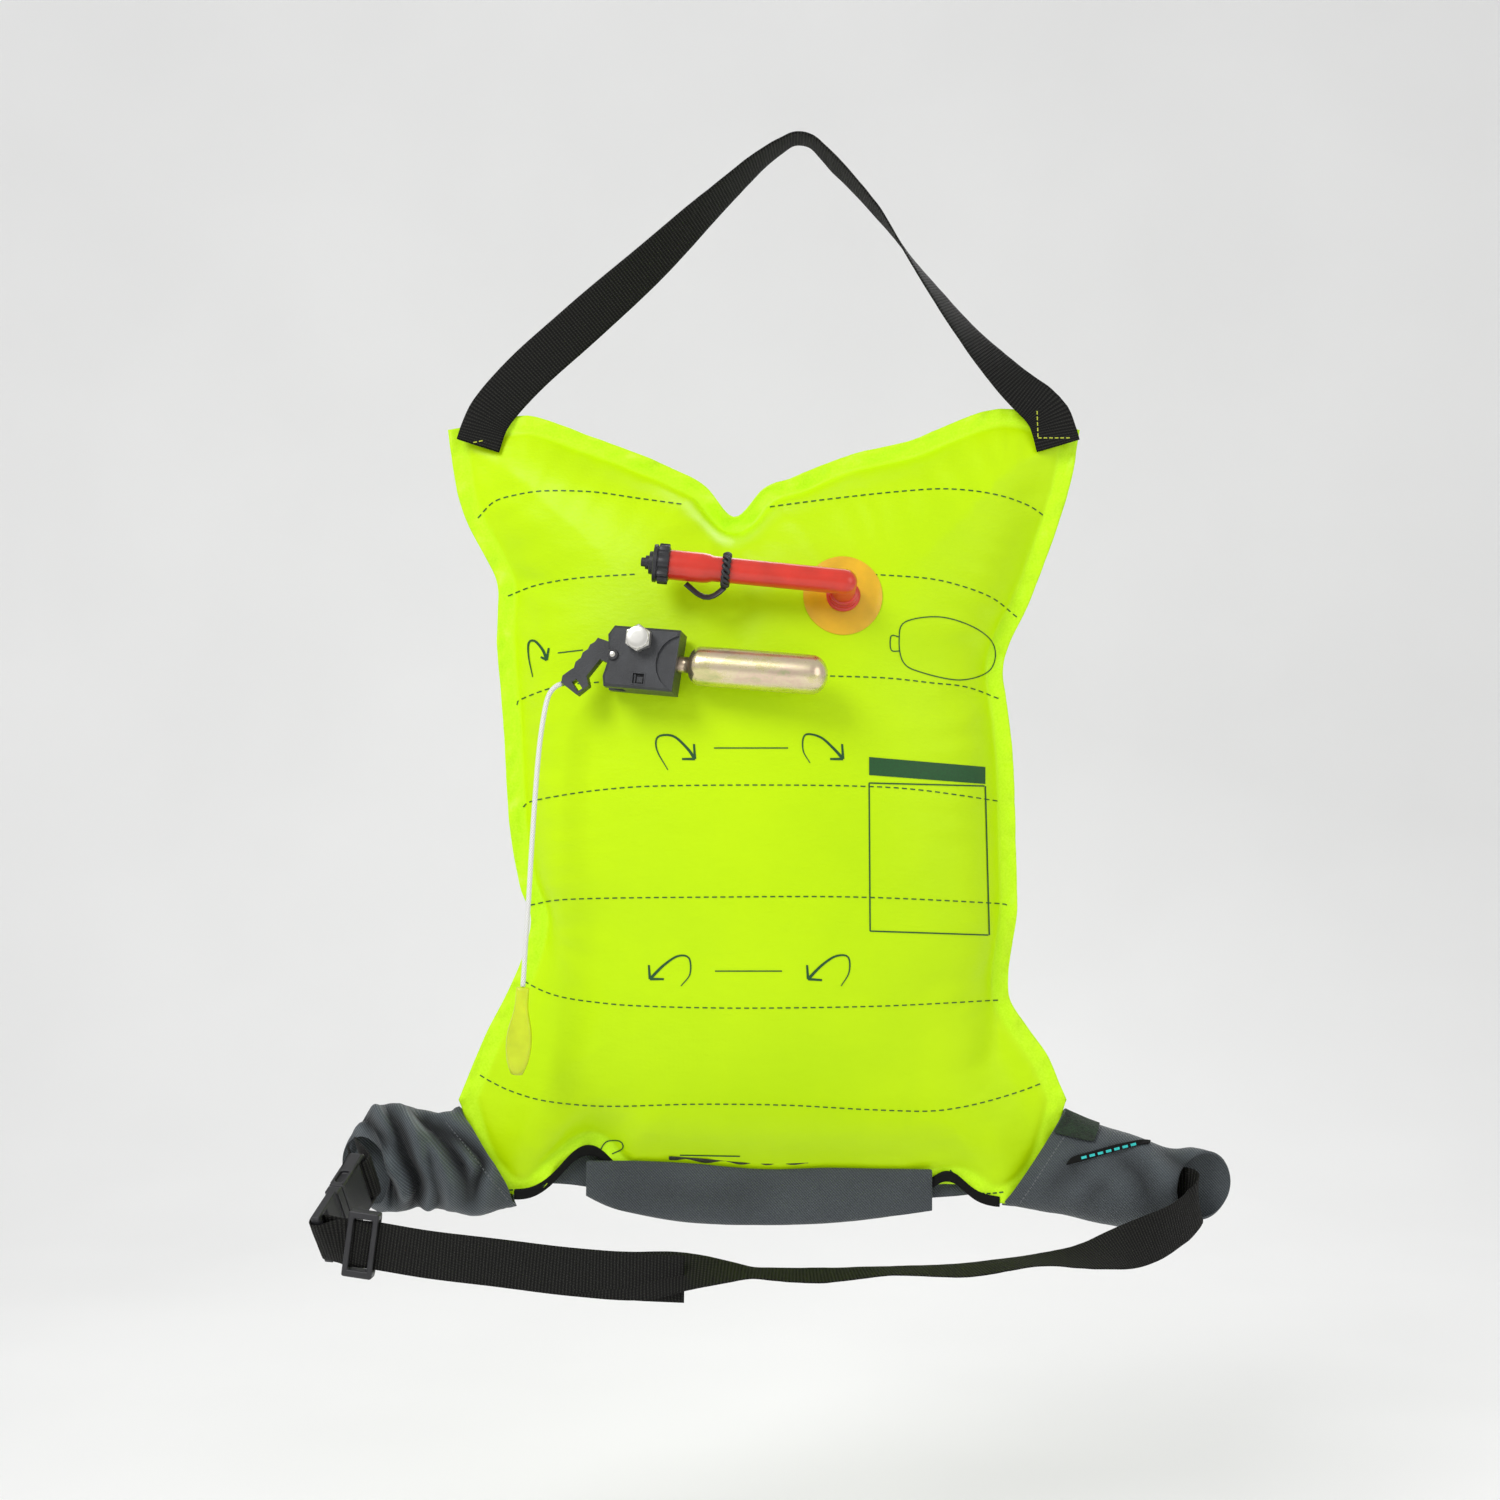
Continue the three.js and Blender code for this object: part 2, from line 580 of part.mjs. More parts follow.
function makeMouthTube() {
  const { points, mouth, run } = tubeRoute();
  const length = new THREE.CatmullRomCurve3(points, false, "centripetal").getLength();
  const neck = length - MOUTHPIECE_LENGTH;
  const radiusAt = (s) => {
    if (s < FOOT_HEIGHT) return FOOT_RADIUS;
    const blend = THREE.MathUtils.smoothstep(s, neck - 5, neck);
    return TUBE_RADIUS + (MOUTHPIECE_RADIUS - TUBE_RADIUS) * blend;
  };
  const outer = tube(points, radiusAt, 12, 20);
  const start = points[0].clone().add(vec(0, 1, 0));
  const over = [start, ...points.slice(1, -1), mouth.clone().addScaledVector(run, 1)];
  const bore = tube(over, () => TUBE_BORE_RADIUS, 8, 12);
  add("oral_tube", cut(outer, bore), RED_PVC);

  const cap = new THREE.Group();
  cap.position.copy(mouth);
  cap.quaternion.setFromUnitVectors(vec(0, 1, 0), run);
  pack.add(cap);
  const inner = MOUTHPIECE_RADIUS + GAP;
  const rim = -CAP_LENGTH * 0.55;
  const face = CAP_LENGTH * 0.45;
  const profile = [
    [0, GAP],
    [inner, GAP],
    [inner, rim],
    [CAP_RADIUS, rim],
    [CAP_RADIUS, face],
    [CAP_NIPPLE.wide, face],
    [CAP_NIPPLE.wide, face + CAP_NIPPLE.low],
    [CAP_NIPPLE.narrow, face + CAP_NIPPLE.low],
    [CAP_NIPPLE.narrow, face + CAP_NIPPLE.high],
    [0, face + CAP_NIPPLE.high],
  ];
  const lathe = new THREE.LatheGeometry(profile.map(([r, y]) => new THREE.Vector2(r, y)), 16);
  add("tube_cap", lathe, BLACK_PLASTIC, cap);

  const ringInner = TUBE_RADIUS + 0.5;
  const ringProfile = [
    [ringInner, -TIE.from - TIE.width],
    [ringInner + TIE.thick, -TIE.from - TIE.width],
    [ringInner + TIE.thick, -TIE.from],
    [ringInner, -TIE.from],
    [ringInner, -TIE.from - TIE.width],
  ];
  const ring = new THREE.LatheGeometry(ringProfile.map(([r, y]) => new THREE.Vector2(r, y)), 16);
  add("tube_tie", ring, BLACK_PLASTIC, cap);

  // The tether hangs in a shallow arc under the tube, from near the cap to the band.
  const top = ringInner + TIE.thick + GAP;
  const arc = Array.from({ length: 9 }, (_, i) => {
    const t = i / 8;
    const along = -TIE.from - TIE.width / 2 + t * TETHER.length;
    return vec(0, along, -top - 0.5 - TETHER.sag * Math.sin(Math.PI * t) * (1 - 0.45 * t));
  });
  const strip = arc.map((p, i) => {
    const along = arc[Math.min(i + 1, 8)].clone().sub(arc[Math.max(i - 1, 0)]).normalize();
    return { at: p, across: vec(1, 0, 0), out: along.cross(vec(1, 0, 0)) };
  });
  const holder = new THREE.Group();
  holder.position.copy(mouth);
  const down = vec(0, 0, -1).addScaledVector(run, run.z).normalize();
  const basis = new THREE.Matrix4().makeBasis(run.clone().cross(down.clone().negate()), run, down.negate());
  holder.quaternion.setFromRotationMatrix(basis);
  pack.add(holder);
  add("cap_tether", ribbon(strip, TETHER.width, TETHER.thick), BLACK_PLASTIC, holder);
}

// A round patch that follows the cell's front.
function makePatch() {
  const hole = FOOT_RADIUS + 2 * GAP;
  const radii = [PATCH_RADIUS, (PATCH_RADIUS + hole) / 2, hole];
  const sides = 20;
  const grid = (lift) =>
    radii.map((radius) =>
      Array.from({ length: sides }, (_, k) => {
        const angle = (2 * Math.PI * k) / sides;
        const x = TUBE_FOOT.x + radius * Math.cos(angle);
        const z = TUBE_FOOT.z + radius * Math.sin(angle);
        return vec(x, -frontAt(x, z) - lift, z);
      }),
    );
  const outer = grid(0.4 + PATCH_THICK);
  const inner = grid(0.4);
  add("oral_patch", sleeve(outer, inner), ORANGE);
}

// The head's face in X and Z about its own middle, from the top left round the left side.
const HEAD_FACE = [
  [-17.2, 16.8],
  [-20.3, 11.8],
  [-18.7, -0.5],
  [-21.1, -10.9],
  [-20.1, -16.2],
  [16.9, -16.5],
  [18.7, 16.8],
];
const PIN_AT = { x: -16.4, z: 0.9 };
const NUT_AT = { x: -2.8, z: 10.2 };
const WINDOW = { x: -1.5, z: -10.9, width: 6, height: 5.4, deep: 2 };
const SCOOP = { x: 23, z: -1.5, radius: 16, deep: 3.5 }; // the curved step on the face's right side
const LEVER_SLOT = { right: -10.6, top: 12.6 };
const LEVER_EYE = { x: -19.5, z: -17, width: 3, length: 6, turn: -38 }; // for the pull cord
const LEVER_MIDDLE = HEAD_STAND_OFF + HEAD_DEPTH / 2;

// The lever's outline about the pin, clockwise from the root's top, with its ribs on the outer side.
const LEVER_FACE = [
  [-4.4, 7.9],
  [-10.8, 9.6],
  [-12.2, 7.2],
  [-14.6, 5.6],
  [-15.6, 3],
  [-18.2, 1],
  [-19, -2],
  [-21.6, -4.4],
  [-22.2, -7.6],
  [-24.8, -9.6],
  [-28, -12.4],
  [-28.4, -16.2],
  [-19.2, -22.2],
  [-13.2, -16.6],
  [-14.8, -11.6],
  [-8.4, -2],
  [-3, -3.8],
  [3.4, -3],
  [4.6, 1.5],
  [2, 4.6],
];

function makeInflator() {
  const face = HEAD_STAND_OFF + HEAD_DEPTH;
  const body = slabShape(outline(HEAD_FACE), HEAD_DEPTH, HEAD_STAND_OFF, HEAD_BEVEL);
  const slotThick = LEVER_THICK + 2 * GAP;
  const slot = new THREE.BoxGeometry(2 * HEAD_DEPTH, slotThick, 2 * HEAD_DEPTH);
  slot.translate(LEVER_SLOT.right - HEAD_DEPTH, -LEVER_MIDDLE, LEVER_SLOT.top - HEAD_DEPTH);
  const stemHole = post(STEM_RADIUS + GAP, 0, face + 2).translate(NUT_AT.x, 0, NUT_AT.z);
  const pinHole = post(PIN_RADIUS + GAP, HEAD_STAND_OFF + 2, face + 2, 10);
  pinHole.translate(PIN_AT.x, 0, PIN_AT.z);
  const window = new THREE.BoxGeometry(WINDOW.width, 2 * WINDOW.deep, WINDOW.height);
  window.translate(WINDOW.x, -face, WINDOW.z);
  const neckRoom = NECK_RADIUS + GAP;
  const neckHole = new THREE.CylinderGeometry(neckRoom, neckRoom, 2 * (NECK_IN_HEAD + 2 * GAP), 14);
  neckHole.rotateZ(Math.PI / 2).translate(HEAD_FACE.at(-1)[0], -LEVER_MIDDLE, 0);
  const scoop = new THREE.CylinderGeometry(SCOOP.radius, SCOOP.radius, 2 * SCOOP.deep, 20);
  scoop.translate(SCOOP.x, -face - 2, SCOOP.z);
  const head = cut(body, slot, stemHole, pinHole, window, neckHole, scoop);
  add("inflator_body", head, BLACK_PLASTIC, inflator);

  const foot = post(STEM_FOOT_RADIUS, 0, STEM_FOOT_THICK, 18).translate(0, -GAP - 0.5, 0);
  const stem = post(STEM_RADIUS, 0, face + NUT_HEIGHT * 0.5, 12).translate(NUT_AT.x, -1, NUT_AT.z);
  const bore = post(STEM_BORE_RADIUS, -2, STEM_FOOT_THICK + 8, 8);
  add("inflator_stem", cut(join(foot, stem), bore), STEEL, inflator);

  const nut = new THREE.CylinderGeometry(1, 1, 1, 6);
  const corner = NUT_FLATS / Math.sqrt(3);
  nut.scale(corner, NUT_HEIGHT, corner).translate(0, -face - GAP - NUT_HEIGHT / 2, 0);
  const dome = post(NUT_FLATS * 0.47, face + GAP + 1, face + GAP + NUT_HEIGHT + NUT_DOME, 18);
  const thread = post(STEM_RADIUS + GAP, face - 1, face + NUT_HEIGHT * 0.5 + 2, 12);
  const nutSolid = cut(join(nut, dome), thread).translate(NUT_AT.x, 0, NUT_AT.z);
  add("inflator_nut", nutSolid, STEEL, inflator);

  const pin = join(
    post(PIN_RADIUS, HEAD_STAND_OFF + 2 + GAP, face + GAP + 0.5, 10),
    post(PIN_HEAD.radius, face + GAP, face + GAP + PIN_HEAD.thick, 12),
  );
  add("lever_pin", pin.translate(PIN_AT.x, 0, PIN_AT.z), STEEL, inflator);

  const lever = slabShape(outline(LEVER_FACE), LEVER_THICK, LEVER_MIDDLE - LEVER_THICK / 2);
  const eye = post(PIN_RADIUS + GAP, 0, face + 5, 10);
  const slotHole = new THREE.BoxGeometry(LEVER_EYE.width, 2 * face, LEVER_EYE.length);
  slotHole.rotateY(deg(LEVER_EYE.turn)).translate(LEVER_EYE.x, 0, LEVER_EYE.z);
  const leverSolid = cut(lever, eye, slotHole).translate(PIN_AT.x, 0, PIN_AT.z);
  add("inflator_lever", leverSolid, BLACK_PLASTIC, inflator);

  makeCylinder();
}

// The gas cylinder lies along +X, its neck screwed into the head.
function makeCylinder() {
  const headSide = HEAD_FACE.at(-1)[0];
  const start = headSide - NECK_IN_HEAD;
  const shoulder = headSide + NECK_LENGTH;
  const round = CYLINDER_RADIUS;
  const profile = [new THREE.Vector2(0, start), new THREE.Vector2(NECK_RADIUS, start)];
  profile.push(new THREE.Vector2(NECK_RADIUS, shoulder));
  for (let i = 1; i <= 5; i += 1) {
    const angle = (Math.PI / 2) * (i / 5);
    const r = NECK_RADIUS + (round - NECK_RADIUS) * Math.sin(angle);
    profile.push(new THREE.Vector2(r, shoulder + SHOULDER_LENGTH * (1 - Math.cos(angle))));
  }
  const tail = shoulder + CYLINDER_LENGTH - TAIL_LENGTH;
  for (let i = 0; i <= 6; i += 1) {
    const angle = (Math.PI / 2) * (i / 6);
    const r = Math.max(0, round * Math.cos(angle));
    profile.push(new THREE.Vector2(r, tail + TAIL_LENGTH * Math.sin(angle)));
  }
  profile[profile.length - 1].x = 0;
  const made = new THREE.LatheGeometry(profile, 18).rotateZ(-Math.PI / 2);
  add("co2_cylinder", made.translate(0, -LEVER_MIDDLE, 0), ZINC, inflator);
}

// Points of the pull cord below its bend, down to the handle.
const CORD_POINTS = [
  [-138.6, -58, -317],
  [-141, -58.6, -327],
  [-143.6, -59.4, -346],
  [-145.8, -60, -373],
  [-147.6, -60, -400],
  [-149.3, -59, -427],
  [-151, -58, -450],
  [-152, -57.5, -466],
  [-152.6, -57, -474],
];

function makePullCord() {
  // The cord's top end sits just outside the circle that the lever's outer corner turns in.
  const reachOf = (place) => Math.hypot(...place);
  const corner = LEVER_FACE.reduce((far, place) => (reachOf(place) > reachOf(far) ? place : far));
  const reach = reachOf(corner);
  const beyond = (more) => {
    const share = 1 + more / reach;
    const local = vec(PIN_AT.x + corner[0] * share, -LEVER_MIDDLE, PIN_AT.z + corner[1] * share);
    return local.applyMatrix4(inflator.matrixWorld);
  };
  const points = [beyond(GAP + 0.05), beyond(GAP + 4), ...CORD_POINTS.map((p) => vec(...p))];
  const path = new THREE.CatmullRomCurve3(points, false, "centripetal");
  const section = new THREE.Shape();
  section.absarc(0, 0, CORD_DIAMETER / 2, 0, 2 * Math.PI);
  const cord = new THREE.ExtrudeGeometry(section, { steps: 28, extrudePath: path, curveSegments: 4 });
  add("pull_cord", mergeVertices(cord), WHITE_CORD);

  // The handle's half outline from its eye down, as shares of its width and length.
  const half = [
    [0.36, 0],
    [0.34, 0.26],
    [0.6, 0.42],
    [0.74, 0.62],
    [0.62, 0.84],
    [0.32, 1],
  ];
  const side = (k) => half.map(([w, l]) => [(k * w * HANDLE_WIDTH) / 1.48, -l * HANDLE_LENGTH]);
  const shape = outline([...side(-1), ...side(1).reverse()]);
  const handle = slabShape(shape, HANDLE_THICK, -HANDLE_THICK / 2, 1.2);
  const mesh = add("pull_handle", handle, YELLOW_PLASTIC);
  const [x, y, z] = CORD_POINTS.at(-1);
  mesh.position.set(x, y, z - GAP);
  mesh.rotation.y = deg(4);
}

// The binding tape lies on the weld margin's front, along the cell's lower edge. `over` is how far it
// reaches below that edge, `from` and `to` are shares of the cell's half width.
const BINDING = { width: 6, thick: 1.2, over: 2.2, from: -0.79, to: 0.745 };

function makeBinding() {
  const { width, thick, over, from, to } = BINDING;
  const steps = 34;
  const row = (lift, up) =>
    Array.from({ length: steps + 1 }, (_, i) => {
      const out = from + (to - from) * (i / steps);
      const z = toZ(read(BOTTOM_EDGE, "out", "drop", out)) - over + up * width;
      return vec(toX(out), -CELL_WALL - 0.5 - lift, z);
    });
  add("bottom_binding", plate([row(thick, 0), row(thick, 1)], [row(0, 0), row(0, 1)]), WEBBING);
}

// The grey panel under the cell, `out` as a share of the cell's half width, its top and its bottom as
// shares of the cell's height.
const PANEL = [
  { out: -0.56, top: 0.941, bottom: 0.985 },
  { out: -0.5, top: 0.941, bottom: 0.998 },
  { out: -0.4, top: 0.941, bottom: 1.008 },
  { out: -0.24, top: 0.943, bottom: 1.018 },
  { out: 0, top: 0.952, bottom: 1.022 },
  { out: 0.2, top: 0.949, bottom: 1.019 },
  { out: 0.36, top: 0.951, bottom: 1.013 },
  { out: 0.53, top: 0.952, bottom: 1.003 },
];

const STRIP = { from: -0.3, to: 0.14, width: 4, thick: 1 }; // the hook strip inside the panel's top edge
const LIP_BACK = 2.6; // how far the panel turns in behind the weld plane
const LIP_UP = 3; // how far it turns up there

function makePanel() {
  const cols = 16;
  const from = PANEL[0].out;
  const to = PANEL.at(-1).out;
  const sections = Array.from({ length: cols + 1 }, (_, i) => {
    const out = from + (to - from) * (i / cols);
    const x = toX(out);
    const top = toZ(read(PANEL, "out", "top", out));
    const bottom = toZ(read(PANEL, "out", "bottom", out));
    const depth = frontAt(x, top) + STRIP.thick + 1.1;
    const shape = [
      [-LIP_BACK, LIP_UP],
      [0.1 * depth, 0],
      [0.45 * depth, 0.2],
      [0.8 * depth, 4],
      [0.96 * depth, 12],
      [depth, top - bottom],
    ];
    const line = shape.map(([d, up]) => vec(x, -d, bottom + up));
    const inner = line.map((p, k) => {
      const along = line[Math.min(k + 1, 5)].clone().sub(line[Math.max(k - 1, 0)]).normalize();
      return p.clone().addScaledVector(along.cross(vec(1, 0, 0)), -PANEL_WALL);
    });
    return { line, inner };
  });
  const grid = (name) => sections[0][name].map((_, k) => sections.map((s) => s[name][k]));
  const front = grid("line").map((row) => row.map((p) => p.clone()));
  add("center_panel", plate(offsetOut(front), front), GREY_CLOTH);

  const strip = (lift) =>
    [0, 1].map((up) =>
      Array.from({ length: 11 }, (_, i) => {
        const out = STRIP.from + (STRIP.to - STRIP.from) * (i / 10);
        const z = toZ(read(PANEL, "out", "top", out)) + up * STRIP.width - 0.5;
        return vec(toX(out), -frontAt(toX(out), z) - 0.4 - lift, z);
      }),
    );
  add("hook_strip", plate(strip(STRIP.thick * 0.6), strip(0)), HOOK_TAPE);
}

// The panel's outer face, its wall away from the given inner face.
function offsetOut(inner) {
  return inner.map((row, r) =>
    row.map((p, c) => {
      const up = inner[Math.min(r + 1, inner.length - 1)][c].clone().sub(inner[Math.max(r - 1, 0)][c]);
      const right = row[Math.min(c + 1, row.length - 1)].clone().sub(row[Math.max(c - 1, 0)]);
      const out = right.cross(up).normalize();
      return p.clone().addScaledVector(out, PANEL_WALL);
    }),
  );
}

// The band behind the cell, from wing to wing, `low` and `high` as shares of the cell's height.
const BAND = [
  { out: -0.86, low: 0.958, high: 0.928 },
  { out: -0.7, low: 0.985, high: 0.9 },
  { out: -0.4, low: 1, high: 0.88 },
  { out: 0, low: 1.003, high: 0.875 },
  { out: 0.4, low: 1, high: 0.88 },
  { out: 0.7, low: 0.985, high: 0.9 },
  { out: 0.86, low: 0.958, high: 0.928 },
];

function makeBand() {
  const cols = 16;
  const levels = 5;
  const grid = (lift) =>
    Array.from({ length: levels }, (_, r) =>
      Array.from({ length: cols + 1 }, (_unused, c) => {
        const out = THREE.MathUtils.lerp(BAND[0].out, BAND.at(-1).out, c / cols);
        const share = r / (levels - 1);
        const seam = read(PANEL, "out", "bottom", out) - (LIP_UP + PANEL_WALL) / CELL_HEIGHT;
        const low = Math.min(seam, read(BAND, "out", "low", out));
        const high = read(BAND, "out", "high", out);
        const x = toX(out);
        const z = toZ(low + (high - low) * share);
        const behind = Math.max(frontAt(x, z), frontAt(x, z + 4), frontAt(x + 4, z + 2), CELL_WALL);
        return vec(x, behind + 1.1 + lift, z);
      }),
    );
  add("back_band", plate(grid(0), grid(CLOTH)), GREY_CLOTH);
}

// The wings. `top` and `bottom` are the ring's ends in the front view, along and down as shares of the
// wing's length and height from the mouth's upper end. `depth` is a share of the wing's half depth, and
// `lean` sets the ring's front edge back along the wing.
const LEFT_WING = [
  { topAlong: 0, topDown: 0, lowAlong: -0.4, lowDown: 1, depth: 0.46, lean: 0 },
  { topAlong: 0.11, topDown: 0.06, lowAlong: -0.24, lowDown: 1.06, depth: 0.8, lean: 0 },
  { topAlong: 0.24, topDown: 0.01, lowAlong: -0.06, lowDown: 1.09, depth: 0.98, lean: 0 },
  { topAlong: 0.4, topDown: -0.06, lowAlong: 0.16, lowDown: 1.04, depth: 1, lean: 0 },
  { topAlong: 0.54, topDown: -0.01, lowAlong: 0.33, lowDown: 1.07, depth: 0.88, lean: 0.1 },
  { topAlong: 0.59, topDown: 0.14, lowAlong: 0.46, lowDown: 1.08, depth: 0.68, lean: 0.75 },
  { topAlong: 0.61, topDown: 0.27, lowAlong: 0.53, lowDown: 1, depth: 0.58, lean: 1.2 },
];
const RIGHT_WING = [
  { topAlong: 0, topDown: 0, lowAlong: -0.44, lowDown: 0.97, depth: 0.46, lean: 0 },
  { topAlong: 0.18, topDown: 0.12, lowAlong: -0.2, lowDown: 1.03, depth: 0.76, lean: 0 },
  { topAlong: 0.36, topDown: 0.2, lowAlong: 0.08, lowDown: 1.11, depth: 0.86, lean: 0 },
  { topAlong: 0.53, topDown: 0.28, lowAlong: 0.38, lowDown: 1.2, depth: 0.82, lean: 0 },
  { topAlong: 0.72, topDown: 0.38, lowAlong: 0.65, lowDown: 1.19, depth: 0.7, lean: 0.2 },
  { topAlong: 0.89, topDown: 0.39, lowAlong: 0.84, lowDown: 1.15, depth: 0.58, lean: 0.9 },
  { topAlong: 0.98, topDown: 0.42, lowAlong: 0.93, lowDown: 1.12, depth: 0.5, lean: 1.6 },
];

// Folds round a wing: where along it, how deep in mm, how wide as a share of it, and how they slant.
const LEFT_FOLDS = [
  { at: 0.16, deep: 2.6, wide: 0.045, slant: 0.05 },
  { at: 0.36, deep: 5, wide: 0.05, slant: -0.07 },
  { at: 0.56, deep: 6, wide: 0.05, slant: 0.06 },
  { at: 0.76, deep: 4.5, wide: 0.045, slant: -0.08 },
];
const RIGHT_FOLDS = [
  { at: 0.3, deep: 1.8, wide: 0.06, slant: 0.12 },
  { at: 0.62, deep: 2.4, wide: 0.07, slant: -0.1 },
];

// A wing's rings, `inset` mm inside its outer face, with its mouth's upper end at `mouth`, side -1 to
// the left or 1 to the right.
function wingRings(table, folds, mouth, side, length, inset) {
  const steps = 14;
  const sides = 14;
  const rows = table.map((row, i) => ({ ...row, place: i / (table.length - 1) }));
  return Array.from({ length: steps + 1 }, (_, i) => {
    const place = i / steps;
    const get = (name) => read(rows, "place", name, place);
    const top = vec(mouth.x + side * get("topAlong") * length, 0, mouth.z - get("topDown") * WING_HEIGHT);
    const low = vec(mouth.x + side * get("lowAlong") * length, 0, mouth.z - get("lowDown") * WING_HEIGHT);
    const middle = top.clone().add(low).multiplyScalar(0.5);
    const upward = top.clone().sub(low);
    const half = upward.length() / 2;
    upward.normalize();
    const depth = get("depth") * WING_HALF_DEPTH;
    const along = vec(upward.z * side, 0, -upward.x * side);
    return Array.from({ length: sides }, (_unused, k) => {
      const angle = (side * 2 * Math.PI * k) / sides;
      const up = Math.cos(angle);
      const fore = Math.sin(angle);
      const shut = folds.reduce((sum, fold) => {
        const off = (place - fold.at - fold.slant * fore * up * 2) / fold.wide;
        return sum + fold.deep * Math.exp(-off * off) * Math.min(1, 8 * place * (1 - place));
      }, 0);
      const high = half - inset - shut * 0.5;
      const deep = depth - inset - shut;
      return middle
        .clone()
        .addScaledVector(upward, up * high)
        .addScaledVector(along, fore * depth * get("lean") * -1)
        .add(vec(0, -fore * deep, 0));
    });
  });
}

// Where the strip and the tab lie on the right wing: from ring to ring of its 14, and each edge's turn,
// in steps of its 14 sides from the top, at its left and right end.
const LABEL_ON_WING = { fromRing: 2, toRing: 7.6, lowEdge: [3.3, 0.8], topEdge: [2.9, 0.4] };
const TAB_ON_WING = { fromRing: 0.1, toRing: 3, lowEdge: [2.2, 1.9], topEdge: [0.5, 0.45] };

const LEFT_MOUTH = { x: toX(-0.9645), z: toZ(0.872) };
const RIGHT_MOUTH = { x: toX(0.9535), z: toZ(0.874) };

function makeWings() {
  const wing = (name, table, folds, mouth, side, length) => {
    const outer = wingRings(table, folds, mouth, side, length, 0);
    const inner = wingRings(table, folds, mouth, side, length, CLOTH);
    add(name, sleeve(outer, inner), GREY_CLOTH);
    return outer;
  };
  wing("left_wing", LEFT_WING, LEFT_FOLDS, LEFT_MOUTH, -1, WING_LENGTH.left);
  const rings = wing("right_wing", RIGHT_WING, RIGHT_FOLDS, RIGHT_MOUTH, 1, WING_LENGTH.right);

  // A flat piece that lies on the wing's front, over rings and turns of the front half.
  const onWing = ({ fromRing, toRing, lowEdge, topEdge }, thick, rows, cols) => {
    const face = (lift) =>
      Array.from({ length: rows + 1 }, (_, r) =>
        Array.from({ length: cols + 1 }, (_unused, c) => {
          const ring = fromRing + (toRing - fromRing) * (c / cols);
          const edge = (at) => lowEdge[at] + (topEdge[at] - lowEdge[at]) * (r / rows);
          const turn = THREE.MathUtils.lerp(edge(0), edge(1), c / cols);
          return pointOn(rings, ring, turn, lift);
        }),
      );
    return plate(face(1 + thick), face(1));
  };
  add("wing_label", onWing(LABEL_ON_WING, 0.8, 1, 10), WEBBING);
  add("hook_tab", onWing(TAB_ON_WING, 1, 3, 5), HOOK_TAPE);
}

// The point at a ring and a turn number, both with fractions, lifted off the surface.
function pointOn(rings, ring, turn, lift) {
  const sample = (a, b) => {
    const r = Math.min(Math.floor(a), rings.length - 2);
    const k = Math.floor(b);
    const n = rings[0].length;
    const low = rings[r][k % n].clone().lerp(rings[r][(k + 1) % n], b - k);
    const high = rings[r + 1][k % n].clone().lerp(rings[r + 1][(k + 1) % n], b - k);
    return low.lerp(high, a - r);
  };
  const point = sample(ring, turn);
  const alongRing = sample(ring, turn + 0.3).sub(point);
  const alongWing = sample(ring + 0.3, turn).sub(point);
  const out = alongRing.cross(alongWing).normalize();
  if (out.y > 0) out.negate();
  return point.addScaledVector(out, lift);
}

// The buckle runs from the belt's fold back to the left wing.
const BUCKLE_BAR = vec(BELT_LEFT_X, -BUCKLE_FORE, BELT_Z);
const BUCKLE_AXIS = vec(0.288, 0.807, 0.511).normalize();
const BUCKLE_ACROSS = vec(0, 0, 1).addScaledVector(BUCKLE_AXIS, -BUCKLE_AXIS.z).normalize();
const BUCKLE_OUT = BUCKLE_AXIS.clone().cross(BUCKLE_ACROSS);

// The wing's webbing, in mm along the buckle past its end and out from its middle.
const WEB_FOLD = [
  [29.5, -21],
  [14.5, -9],
  [2.5, 5.1],
  [-3, 6.1],
  [-4.9, 3],
  [-5, -3],
  [-3, -6.1],
  [1.5, -6.9],
  [8.5, -11],
];

